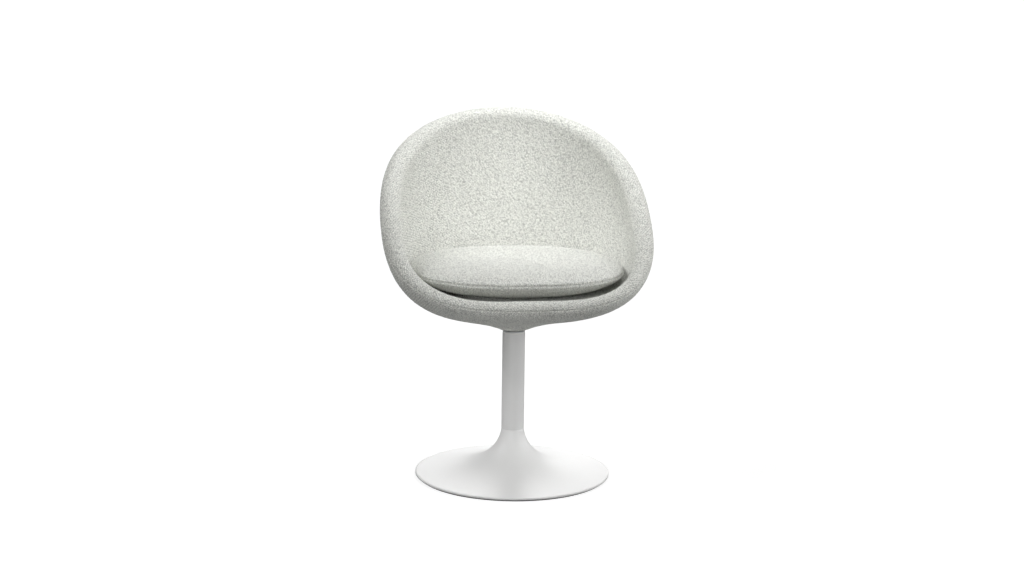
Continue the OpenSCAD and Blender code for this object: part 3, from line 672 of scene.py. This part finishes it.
def ring_object(points):
    """Mesh of the edges of the closed line through these points."""
    n = len(points)
    mesh = bpy.data.meshes.new("line")
    mesh.from_pydata([tuple(p) for p in points], [(k, (k + 1) % n) for k in range(n)], [])
    return linked("line", mesh)


def sew(name, points, body):
    """Stitches along a closed line."""
    tree = bpy.data.node_groups.get("stitches_on_line") or stitch_tree()
    finish = bpy.data.materials["sewing_thread"]
    obj = baked_by_nodes(name, ring_object(points), tree, **STITCH, Finish=finish)
    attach(obj, body)


def turned(name, profile, body, nodes, finish):
    """A turned piece from a closed profile of (radius, height) points."""
    tree = bpy.data.node_groups.get("turned_profile") or lathe_tree()
    # The profile is swept round a circle, so its radii count from that circle's line
    source = ring_object([(r - LATHE_R, -h, 0) for r, h in reversed(profile)])
    segments = bpy.context.scene.armchair_stand.segments
    obj = baked_by_nodes(name, source, tree, Segments=segments, Finish=bpy.data.materials[finish])
    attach(obj, body)
    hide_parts(*nodes)


# -------- pieces


def bucket_angles(fabric, reach):
    columns = int(TAU * reach / fabric.grid)
    return np.arange(columns) * TAU / columns


# Rows of points down the outer cover, the inner cover and the hidden side of the fabric
OUTER_ROWS, INNER_ROWS, UNDER_ROWS = 230, 300, 10
# The inner cover's hidden side starts this many rows from the seam
UNDER_FROM = 2
# Depth and width of the hem at the neck, and the width on which the weave starts there
HEM_TURN, HEM_WIDTH, HEM_CALM = 0.0016, 0.003, 0.004
# Radius at which the inner cover's pattern has its own size
PATTERN_R = 0.25
# Gores of the outer cover, the angle on which two blend, and the shift of each one's pattern
GORES, GORE_BLEND, GORE_SHIFT = 8, math.radians(2.5), 3.7
# How far the stitches lie above the bottom of their seam
RIM_STITCH, CUSHION_STITCH = 0.0009, 0.0012


def gored_weave(a, radius, down, fabric):
    """Weave on cloth that is cut in gores, so that its scale is the same from the rim to the neck."""
    span = TAU / GORES
    where = a[:, None] / span
    left = np.floor(where)
    edge = np.clip((np.abs(where - np.round(where)) * span) / GORE_BLEND, 0, 1)
    own = 0.5 + 0.5 * edge * edge * (3 - 2 * edge)
    own_u = (where - left - 0.5) * span * radius
    other = np.where(where - left > 0.5, left + 1, left - 1)
    other_u = (where - other - 0.5) * span * radius
    first = weave(own_u + GORE_SHIFT * np.mod(left, GORES), down, fabric)
    second = weave(other_u + GORE_SHIFT * np.mod(other, GORES), down, fabric)
    return [own * x + (1 - own) * y for x, y in zip(first, second)]


def quilted(fine, out, from_seam, pattern, calm, rows, hem=0):
    """Points, relief and tint of a cover's woven skin and of its hidden side, which keeps these rows only."""
    size, fabric = bpy.context.scene.armchair_bucket, bpy.context.scene.armchair_fabric
    relief, tint = pattern
    groove = hollowed(from_seam, size.groove_width, size.groove_depth)
    lift = fabric.relief * (relief - RELIEF_MID) * calm - groove - hem
    under = fine[:, rows] - (size.fabric_t + groove[:, rows])[..., None] * out[:, rows]
    zero = np.zeros(under.shape[:2])
    return (fine + lift[..., None] * out, under), (relief, zero + RELIEF_UNDER), (tint, zero)


class ARMCHAIR_OT_outer_cover(bpy.types.Operator):
    """Fabric on the outside of the bucket, from the hem at the column up to the seam below the rim"""
    bl_idname = "armchair.outer_cover"
    bl_label = "Outer cover"

    def execute(self, context):
        size, fabric = context.scene.armchair_bucket, context.scene.armchair_fabric
        form = BucketForm(size)
        a = bucket_angles(fabric, size.half_width)
        fine, _ = spaced(bezier(form.wall(a), np.linspace(0, 1, WALL_SAMPLES)), OUTER_ROWS)
        out = grid_normals(fine)
        out[:, -1] = form.rim(a)[1]
        up = distances(fine)
        from_seam = up[:, -1:] - up
        pattern = gored_weave(a, np.hypot(fine[..., 0], fine[..., 1]), from_seam, fabric)
        calm = np.clip(from_seam / size.groove_width, 0, 1) * np.clip(up / HEM_CALM, 0, 1)
        rows = np.linspace(OUTER_ROWS - 1, 0, UNDER_ROWS).astype(int)
        parts = quilted(fine, out, from_seam, pattern, calm, rows, hollowed(up, HEM_WIDTH, HEM_TURN))
        grid, relief, tint = (np.concatenate(pair, 1) for pair in parts)
        obj = new_object("outer_fabric", grid.reshape(-1, 3), quads(len(a), grid.shape[1], True), "boucle",
                         relief=relief, tint=tint)
        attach(obj, "seat")
        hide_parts("outer_cover")
        seam = form.wall(a)[-1]
        inward = form.rim(a)[1]
        sew("rim_seam_stitches", seam - (size.groove_depth - RIM_STITCH) * inward, "seat")
        return {"FINISHED"}


class ARMCHAIR_OT_inner_cover(bpy.types.Operator):
    """Fabric over the rolled rim, down the inside of the bucket and across its floor"""
    bl_idname = "armchair.inner_cover"
    bl_label = "Inner cover"

    def execute(self, context):
        size, fabric = context.scene.armchair_bucket, context.scene.armchair_fabric
        form = BucketForm(size)
        a = bucket_angles(fabric, size.half_width)
        fine, down = spaced(form.lining(a), INNER_ROWS)
        out = grid_normals(fine)
        out[:, 0] = form.rim(a)[1]
        around = np.broadcast_to(a[:, None] * PATTERN_R, down.shape)
        pattern = weave(around, down, fabric, TAU * PATTERN_R)
        calm = np.clip(down / size.groove_width, 0, 1)
        rows = np.linspace(INNER_ROWS - 1, UNDER_FROM, 2 * UNDER_ROWS).astype(int)
        parts = quilted(fine, out, down, pattern, calm, rows)
        grid, relief, tint = (np.concatenate(pair[::-1], 1) for pair in parts)
        middle = np.array([0, -size.widest_forward, size.floor_h])
        obj = pole_grid("inner_fabric", grid, middle - [0, 0, size.fabric_t], middle, "boucle",
                        relief=relief, tint=tint)
        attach(obj, "seat")
        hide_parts("inner_cover")
        return {"FINISHED"}


def foam_layer(name, grid_parts, body, nodes, poles=None):
    """Closed layer of foam, which goes round as a ring or, where it has poles, is shut at both."""
    grid = np.concatenate(grid_parts, 1)
    if poles is None:
        obj = new_object(name, grid.reshape(-1, 3), quads(grid.shape[0], grid.shape[1], True), "foam")
    else:
        obj = pole_grid(name, grid, *poles, "foam")
    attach(obj, body)
    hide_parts(*nodes)


# -------- cushion

CUSHION_POWER = 2.36
# Powers of the crown: how far its flat middle reaches, and how steeply it ends at the seam
CROWN_P, CROWN_Q = 4.5, 0.5
# Reach and height of the edge below the seam, as shares of the outline and of the seam's height
EDGE_ROUND = (1.0, 1.0, 0.975, 0.92, 0.83, 0.7)
EDGE_RISE = (1.0, 0.92, 0.7, 0.46, 0.2, 0.0)
# Points of a line over the crown, round the edge and across the underside
CROWN_POINTS, EDGE_POINTS, FLAT_POINTS = 160, 80, 12
# Rows of points of the finished cover above and below the seam
TOP_ROWS, LOW_ROWS = 124, 110
# Start of the pattern, which keeps the crown's middle off its cell borders
PATTERN_START = 5.0
# The filling: points round and down its form, voxel, height that is held, share of its height that it
# starts with, and frames of its simulation
FILL_COLUMNS, FILL_ROWS, FILL_VOXEL, FILL_HELD = 160, 70, 0.006, 0.004
FILL_HEIGHT, FILL_FRAMES = 0.97, 20


def cushion_lines(s, a):
    """Lines from the middle of the crown over the edge to the middle of the underside, and the seam's row."""
    flat = oval(s.half_width, s.half_depth, s.half_depth, CUSHION_POWER, a)
    u = np.sin(np.linspace(0, math.pi / 2, CROWN_POINTS))
    crown = s.seam_h + s.crown * (1 - u**CROWN_P) ** CROWN_Q
    t = np.linspace(0, 1, EDGE_POINTS)
    knots = np.linspace(0, 1, len(EDGE_ROUND))
    share = smooth_through(knots, EDGE_ROUND, t)
    rise = smooth_through(knots, EDGE_RISE, t)
    inner = np.linspace(EDGE_ROUND[-1], 0, FLAT_POINTS)[1:-1]
    reach = np.concatenate([u[1:], share[1:], inner])
    edge = s.underside_h + rise[1:] * (s.seam_h - s.underside_h)
    points = np.empty((len(a), len(reach), 3))
    points[..., :2] = flat[:, None] * reach[None, :, None] - [0, s.forward]
    points[..., 2] = np.concatenate([crown[1:], edge, inner * 0 + s.underside_h])
    return points, len(u) - 2


def smooth_through(x, y, t):
    """Smooth curve through points, by a monotone cubic."""
    x, y = np.asarray(x, float), np.asarray(y, float)
    d = np.diff(y) / np.diff(x)
    m = np.concatenate([[d[0]], np.where(d[1:] * d[:-1] > 0, (d[1:] + d[:-1]) / 2, 0), [d[-1]]])
    k = np.clip(np.searchsorted(x, t, side="right") - 1, 0, len(d) - 1)
    h = x[k + 1] - x[k]
    s = (t - x[k]) / h
    return ((1 + 2 * s) * (1 - s) ** 2 * y[k] + s * (1 - s) ** 2 * h * m[k]
            + s * s * (3 - 2 * s) * y[k + 1] + s * s * (s - 1) * h * m[k + 1])


def coordinates(mesh):
    flat = np.empty(len(mesh.vertices) * 3, np.float32)
    mesh.vertices.foreach_get("co", flat)
    return flat.reshape(-1, 3)


def puffed(context, size):
    """BVH of the cushion's form, and how far the simulated filling moves each of its faces."""
    lines, _ = cushion_lines(size, np.arange(FILL_COLUMNS) * TAU / FILL_COLUMNS)
    rows, _ = spaced(lines, FILL_ROWS)
    pole_top = np.array([0, -size.forward, size.seam_h + size.crown])
    pole_low = np.array([0, -size.forward, size.underside_h])
    pad = pole_grid("cushion_filling", rows, pole_top, pole_low, None)
    before = pad.data
    remesh = pad.modifiers.new("even", "REMESH")
    remesh.mode = "VOXEL"
    remesh.voxel_size = FILL_VOXEL
    context.view_layer.update()
    mesh = bpy.data.meshes.new_from_object(pad.evaluated_get(context.evaluated_depsgraph_get()))
    pad.modifiers.remove(remesh)
    pad.data = mesh
    bpy.data.meshes.remove(before)
    start = coordinates(mesh)
    centre = np.array([0, -size.forward, size.seam_h])
    shrunk = centre + (start - centre) * [1, 1, FILL_HEIGHT]
    mesh.vertices.foreach_set("co", shrunk.astype(np.float32).ravel())
    held = pad.vertex_groups.new(name="held")
    low = np.nonzero(start[:, 2] < size.underside_h + FILL_HELD)[0].tolist()
    held.add(low, 1.0, "REPLACE")
    cloth = pad.modifiers.new("filling", "CLOTH")
    cloth.settings.use_pressure = True
    cloth.settings.uniform_pressure_force = size.pressure
    cloth.settings.effector_weights.gravity = 0
    cloth.settings.vertex_group_mass = "held"
    for frame_number in range(1, FILL_FRAMES + 1):
        context.scene.frame_set(frame_number)
    move = coordinates(pad.evaluated_get(context.evaluated_depsgraph_get()).to_mesh()) - start
    pad.modifiers.remove(cloth)
    context.scene.frame_set(1)
    far = np.linalg.norm(move, axis=1, keepdims=True)
    move *= np.minimum(1, size.puff / np.maximum(far, 1e-9))
    faces = [tuple(p.vertices) for p in mesh.polygons]
    tree = BVHTree.FromPolygons([Vector(p) for p in start.tolist()], faces)
    bpy.data.objects.remove(pad)
    return tree, np.array([move[list(face)].mean(0) for face in faces])


def blurred(field, reach=5):
    """Field on a grid that closes on itself along its first axis, evened out over its neighbours."""
    for axis, mode in ((0, "wrap"), (1, "edge")):
        wide = np.pad(field, [(reach, reach) if k == axis else (0, 0) for k in range(field.ndim)], mode=mode)
        shifts = [np.take(wide, np.arange(field.shape[axis]) + k, axis) for k in range(2 * reach + 1)]
        field = sum(shifts) / len(shifts)
    return field


class ARMCHAIR_OT_cushion(bpy.types.Operator):
    """Loose seat cushion: a top and a bottom of fabric, sewn together round the edge over a filling"""
    bl_idname = "armchair.cushion"
    bl_label = "Seat cushion"

    def execute(self, context):
        size, fabric = context.scene.armchair_cushion, context.scene.armchair_fabric
        a = bucket_angles(fabric, size.half_width)
        lines, seam = cushion_lines(size, a)
        top, along_top = spaced(lines[:, :seam + 1], TOP_ROWS)
        low, along_low = spaced(lines[:, seam:], LOW_ROWS)
        grid = np.concatenate([top, low[:, 1:]], 1)
        middle = np.array([0, -size.forward])
        start = np.linalg.norm(lines[:, 0, :2] - middle, axis=1, keepdims=True)
        along = np.concatenate([along_top, along_top[:, -1:] + along_low[:, 1:]], 1) + start
        tree, moves = puffed(context, size)
        face = [tree.find_nearest(p)[2] for p in grid.reshape(-1, 3).tolist()]
        grid = grid + blurred(blurred(moves[face].reshape(grid.shape)))
        grid[..., 2] = np.maximum(grid[..., 2], size.underside_h)
        out = -grid_normals(grid)
        to_seam = np.abs(along - along[:, TOP_ROWS - 1:TOP_ROWS])
        u, v = along * np.sin(a)[:, None], -along * np.cos(a)[:, None]
        relief, tint = weave(u + PATTERN_START, v + PATTERN_START, fabric)
        calm = np.clip(to_seam / size.seam_width, 0, 1)
        lift = fabric.relief * (relief - RELIEF_MID) * calm
        lift -= hollowed(to_seam, size.seam_width, size.seam_depth)
        skin = grid + lift[..., None] * out
        skin[..., 2] = np.maximum(skin[..., 2], size.underside_h)
        obj = pole_grid(
            "seat_cushion", skin[:, ::-1], [*middle, size.underside_h], [*middle, skin[:, 0, 2].mean()],
            "boucle", relief=relief[:, ::-1], tint=tint[:, ::-1])
        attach(obj, "cushion")
        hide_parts("cushion_top_cover", "cushion_bottom_cover", "cushion_foam")
        line = grid[:, TOP_ROWS - 1] - (size.seam_depth - CUSHION_STITCH) * out[:, TOP_ROWS - 1]
        sew("cushion_seam_stitches", line, "cushion")
        return {"FINISHED"}


# -------- stand


# The trumpet's control points between its edge and the column: radius, or distance outside the column, and
# height above the edge
FLARE_R, FLARE_RISE = 0.112, 0.009
COLLAR_OUT, COLLAR_RISE = 0.008, 0.030
TRUMPET_POINTS = 90
# Width of the glide ring, and of the slot that it sits in
RING_WIDTH, SLOT_WIDTH = 0.012, 0.014


def trumpet_lines(stand):
    """Outer and inner line of the trumpet, from its edge on the floor up to the column."""
    points = [(stand.base_r, stand.edge_h), (FLARE_R, stand.edge_h + FLARE_RISE),
              (stand.column_r + COLLAR_OUT, stand.edge_h + COLLAR_RISE), (stand.column_r, stand.joint_h)]
    outer = bezier([np.array([p]) for p in points], np.linspace(0, 1, TRUMPET_POINTS))[0]
    slope = unit(np.gradient(outer, axis=0))
    inner = outer - stand.wall * np.stack([slope[:, 1], -slope[:, 0]], 1)
    return outer, inner


class ARMCHAIR_OT_stand(bpy.types.Operator):
    """Trumpet base, column and glide ring, turned from their profiles"""
    bl_idname = "armchair.stand"
    bl_label = "Column and base"

    def execute(self, context):
        stand = context.scene.armchair_stand
        outer, inner = trumpet_lines(stand)
        seat_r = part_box("base_glide_ring")[1].x
        inside = seat_r - SLOT_WIDTH
        # The offsets below a millimetre round the edges
        kept = inner[(inner[:, 0] < inside) & (inner[:, 1] < stand.joint_h - 0.0003)]
        round_edge = [(stand.base_r - 0.0008, stand.edge_under), (stand.base_r, stand.edge_under + 0.0009),
                      (stand.base_r, stand.edge_h - 0.0010)]
        lip = [(stand.base_r - 0.0004, stand.edge_h - 0.0003)]
        top = [(stand.column_r - 0.0003, stand.joint_h - 0.0006), (stand.column_r - 0.0007, stand.joint_h)]
        bore = stand.column_r - stand.wall
        profile = (round_edge + lip + [tuple(p) for p in outer[1:-1] if p[1] < stand.joint_h - 0.001] + top
                   + [(bore, stand.joint_h)] + [tuple(p) for p in kept[::-1]]
                   + [(inside, kept[0][1]), (inside, stand.edge_under)])
        turned("trumpet", profile, "base", ["trumpet_base"], "powder_coat")
        low, high, r = stand.joint_h, stand.column_top, stand.column_r
        tube = [(bore, low), (r - 0.0007, low), (r - 0.0002, low + 0.0004), (r, low + 0.0010),
                (r, high - 0.0010), (r - 0.0003, high - 0.0003), (r - 0.0010, high), (bore, high)]
        turned("column", tube, "base", ["stand_tube"], "powder_coat")
        glide_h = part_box("base_glide_ring")[1].z
        ring_in = seat_r - RING_WIDTH
        ring = [(ring_in, 0.0008), (ring_in + 0.0008, 0), (seat_r - 0.0008, 0), (seat_r, 0.0008),
                (seat_r, glide_h), (ring_in, glide_h)]
        turned("glide_ring", ring, "base", ["base_glide_ring"], "black_plastic")
        return {"FINISHED"}


# -------- hidden layers and CAD nodes


LEDGE_SHARE, LEDGE_ROUND, LAYER_GAP = 0.26, 0.003, 0.0003
FOAM_COLUMNS, FOAM_ROWS, LINING_ROWS = 160, 60, 90
# Rows that the outer foam ends before the seam, and the gap round the pocket for the nuts
SEAM_ROWS, POCKET_GAP = 2, 0.001


class ARMCHAIR_OT_foam(bpy.types.Operator):
    """Foam inside the covers: on the outside of the shell and inside the bucket"""
    bl_idname = "armchair.foam"
    bl_label = "Foam"

    def execute(self, context):
        size = context.scene.armchair_bucket
        form = BucketForm(size)
        a = np.arange(FOAM_COLUMNS) * TAU / FOAM_COLUMNS
        wall, _ = spaced(bezier(form.wall(a), np.linspace(LEDGE_SHARE, 1, WALL_SAMPLES)), FOAM_ROWS)
        out = grid_normals(wall)
        out[:, -1] = form.rim(a)[1]
        skin = size.fabric_t + LAYER_GAP
        pad_in = skin + size.pad_t
        outer, away = wall[:, :-SEAM_ROWS], out[:, :-SEAM_ROWS]
        foam_layer("outer_foam", [outer - skin * away, (outer - pad_in * away)[:, ::-1]],
                   "seat", ["outer_pad"])
        lining, down = spaced(form.lining(a), LINING_ROWS)
        lining_out = grid_normals(lining)
        lining_out[:, 0] = form.rim(a)[1]
        depth = skin + hollowed(down, size.groove_width, size.groove_depth)
        under = wall - (pad_in + size.shell_t + 2 * LAYER_GAP) * out
        shell_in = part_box("seat_board")[1].x + LEDGE_ROUND
        reach = np.maximum(np.hypot(under[..., 0], under[..., 1]), shell_in)
        around = np.stack([np.sin(a), -np.cos(a)], 1)[:, None]
        under[..., :2] = around * reach[..., None]
        under[..., 2] = np.maximum(under[..., 2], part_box("shell_core")[0].z + size.shell_t + LAYER_GAP)
        pocket_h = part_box("board_nuts")[1].z + LAYER_GAP
        pocket = around[:, 0] * (shell_in - POCKET_GAP)
        pocket = np.stack([raised(pocket, h) for h in (pocket_h, under[0, 0, 2])], 1)
        middle = np.array([0, -size.widest_forward, size.floor_h - skin])
        foam_layer("bucket_foam", [pocket, under, (lining - depth[..., None] * lining_out)[:, 1:]], "seat",
                   ["inner_foam"], ([0, 0, pocket_h], middle))
        return {"FINISHED"}


class ARMCHAIR_OT_node_finishes(bpy.types.Operator):
    """Gives each CAD node the finish of its material slot"""
    bl_idname = "armchair.node_finishes"
    bl_label = "Finishes of the CAD nodes"

    def execute(self, context):
        slots = {part["node"]: part["material_slot"] for part in frame["record"]["subparts"]}
        for name, obj in frame["nodes"].items():
            obj.data.materials.clear()
            obj.data.materials.append(bpy.data.materials[slots[name]])
        return {"FINISHED"}


# -------- stage

# Name, direction in which it shines, and strength
SUNS = (
    ("overhead", (0, -0.1, -1), 0.3),
    ("left_sky", (0.7, 0, -0.7), 1.1),
    ("right_sky", (-0.7, -0.1, -0.7), 0.45),
    ("key", (-0.5, 0.5, -0.7), 0.38),
    ("right_front", (-0.75, 0.6, -0.2), 0.52),
    ("right_side", (-1, -0.15, -0.3), 0.8),
    ("behind", (-0.2, -0.9, -0.4), 0.9),
)
# Name, place, aim, full angle of the cone in degrees, and power
SPOTS = (
    ("back_spot", (0.1, -1.3, 2.3), (0, 0.17, 0.7), 19, 190),
    ("wall_spot", (-1.1, -1.6, 2), (0.2, 0.05, 0.56), 15, 80),
    ("seat_spot", (0.1, -0.1, 2.6), (0, 0.03, 0.5), 9, 60),
    ("base_spot", (-0.9, -2, 0.75), (0, 0, 0.12), 14, 125),
    ("floor_spot", (1.3, -0.9, 1.4), (-0.02, -0.05, 0.05), 12, 30),
)
# Angle of a sun and radius of a spot, which make the shadows soft
SUN_ANGLE, SPOT_R = math.radians(35), 0.25
# Half the floor's width, its tone, and the glow that the camera sees on it
FLOOR_REACH, FLOOR_TONE, FLOOR_GLOW = 30, 0.3, 0.8
# How far the camera aims to the left of the column, its roll, and its sensor's width in mm
AIM_LEFT, CAMERA_ROLL, SENSOR_WIDTH = 0.00534, math.radians(0.759), 36


def lamp(name, kind, place, aim, energy, **settings):
    """Lamp at a place, turned towards its aim."""
    data = bpy.data.lights.new(name, kind)
    data.energy = energy
    for key, value in settings.items():
        setattr(data, key, value)
    obj = linked(name, data)
    obj.location = place
    obj.rotation_euler = (Vector(aim) - Vector(place)).to_track_quat("-Z", "Y").to_euler()


class ARMCHAIR_OT_stage(bpy.types.Operator):
    """Pale floor, white background, soft lamps and the camera at the photograph's place"""
    bl_idname = "armchair.stage"
    bl_label = "Studio"

    def execute(self, context):
        stage = context.scene.armchair_stage
        self.floor()
        self.world(context.scene, stage)
        for name, aim, energy in SUNS:
            lamp(name, "SUN", (0, 0, 0), aim, energy * stage.level, angle=SUN_ANGLE)
        for name, place, aim, cone, energy in SPOTS:
            lamp(name, "SPOT", place, aim, energy * stage.level, spot_size=math.radians(cone), spot_blend=1,
                 shadow_soft_size=SPOT_R)
        self.camera(context.scene, stage)
        context.scene.view_settings.view_transform = "Standard"
        return {"FINISHED"}

    @staticmethod
    def floor():
        mesh = bpy.data.meshes.new("studio_floor")
        corners = [(x * FLOOR_REACH, y * FLOOR_REACH, 0) for x, y in ((-1, -1), (1, -1), (1, 1), (-1, 1))]
        mesh.from_pydata(corners, [], [(0, 1, 2, 3)])
        finish = bpy.data.materials.new("studio_floor")
        finish.use_nodes = True
        tree = finish.node_tree
        shader = tree.nodes["Principled BSDF"]
        shader.inputs["Base Color"].default_value = (FLOOR_TONE, FLOOR_TONE, FLOOR_TONE, 1)
        shader.inputs["Roughness"].default_value = 0.9
        shader.inputs["Specular IOR Level"].default_value = 0.1
        seen = new_node(tree, "ShaderNodeLightPath").outputs["Is Camera Ray"]
        glow = new_node(tree, "ShaderNodeEmission", Strength=maths(tree, "MULTIPLY", seen, FLOOR_GLOW))
        both = new_node(tree, "ShaderNodeAddShader")
        fill(tree, both.inputs[0], shader.outputs["BSDF"])
        fill(tree, both.inputs[1], glow.outputs["Emission"])
        fill(tree, tree.nodes["Material Output"].inputs["Surface"], both.outputs["Shader"])
        mesh.materials.append(finish)
        obj = linked("studio_floor", mesh)

    @staticmethod
    def world(scene, stage):
        """White where the camera, a reflection or a clear piece looks at it, and dim as a lamp."""
        world = bpy.data.worlds.new("studio")
        world.use_nodes = True
        scene.world = world
        tree = world.node_tree
        background = tree.nodes["Background"].inputs
        background["Color"].default_value = (1, 1, 1, 1)
        ray = new_node(tree, "ShaderNodeLightPath").outputs
        seen = maths(tree, "MAXIMUM", ray["Is Camera Ray"], ray["Is Glossy Ray"])
        seen = maths(tree, "MAXIMUM", seen, ray["Is Transmission Ray"])
        level = new_node(tree, "ShaderNodeMapRange", To_Min=stage.world_level, To_Max=1.0, Value=seen)
        fill(tree, background["Strength"], level.outputs["Result"])

    @staticmethod
    def camera(scene, stage):
        camera = bpy.data.cameras.new("camera")
        camera.sensor_width = SENSOR_WIDTH
        camera.lens = stage.lens
        obj = linked("camera", camera)
        place = Vector((math.sin(stage.azimuth), -math.cos(stage.azimuth), 0)) * stage.distance
        place.z = stage.height
        right = Vector((math.cos(stage.azimuth), math.sin(stage.azimuth), 0))
        aim = Vector((0, 0, stage.aim_h)) - AIM_LEFT * right
        turn = (aim - place).to_track_quat("-Z", "Y").to_matrix() @ Matrix.Rotation(CAMERA_ROLL, 3, "Z")
        obj.matrix_world = Matrix.Translation(place) @ turn.to_4x4()
        scene.camera = obj


# -------- add-on


STEPS = (
    ARMCHAIR_OT_stage,
    ARMCHAIR_OT_node_finishes,
    ARMCHAIR_OT_stand,
    ARMCHAIR_OT_outer_cover,
    ARMCHAIR_OT_inner_cover,
    ARMCHAIR_OT_foam,
    ARMCHAIR_OT_cushion,
)


class ARMCHAIR_PT_sidebar(bpy.types.Panel):
    """Lists the armchair's sizes and building steps"""
    bl_idname = "ARMCHAIR_PT_sidebar"
    bl_label = "Armchair"
    bl_space_type = "VIEW_3D"
    bl_region_type = "UI"
    bl_category = "Armchair"

    def draw(self, context):
        for key, group in SETTINGS.items():
            box = self.layout.box()
            box.label(text=key.split("_")[1].capitalize())
            for name in group.__annotations__:
                box.prop(getattr(context.scene, key), name)
        for step in STEPS:
            self.layout.operator(step.bl_idname)


def register():
    for key, group in SETTINGS.items():
        bpy.utils.register_class(group)
        setattr(bpy.types.Scene, key, PointerProperty(type=group))
    for step in (*STEPS, ARMCHAIR_PT_sidebar):
        bpy.utils.register_class(step)


def unregister():
    for step in (ARMCHAIR_PT_sidebar, *reversed(STEPS)):
        bpy.utils.unregister_class(step)
    for key, group in SETTINGS.items():
        delattr(bpy.types.Scene, key)
        bpy.utils.unregister_class(group)


def main():
    register()
    make_finishes()
    for step in STEPS:
        area, name = step.bl_idname.split(".")
        getattr(getattr(bpy.ops, area), name)()


if __name__ == "__main__":
    main()
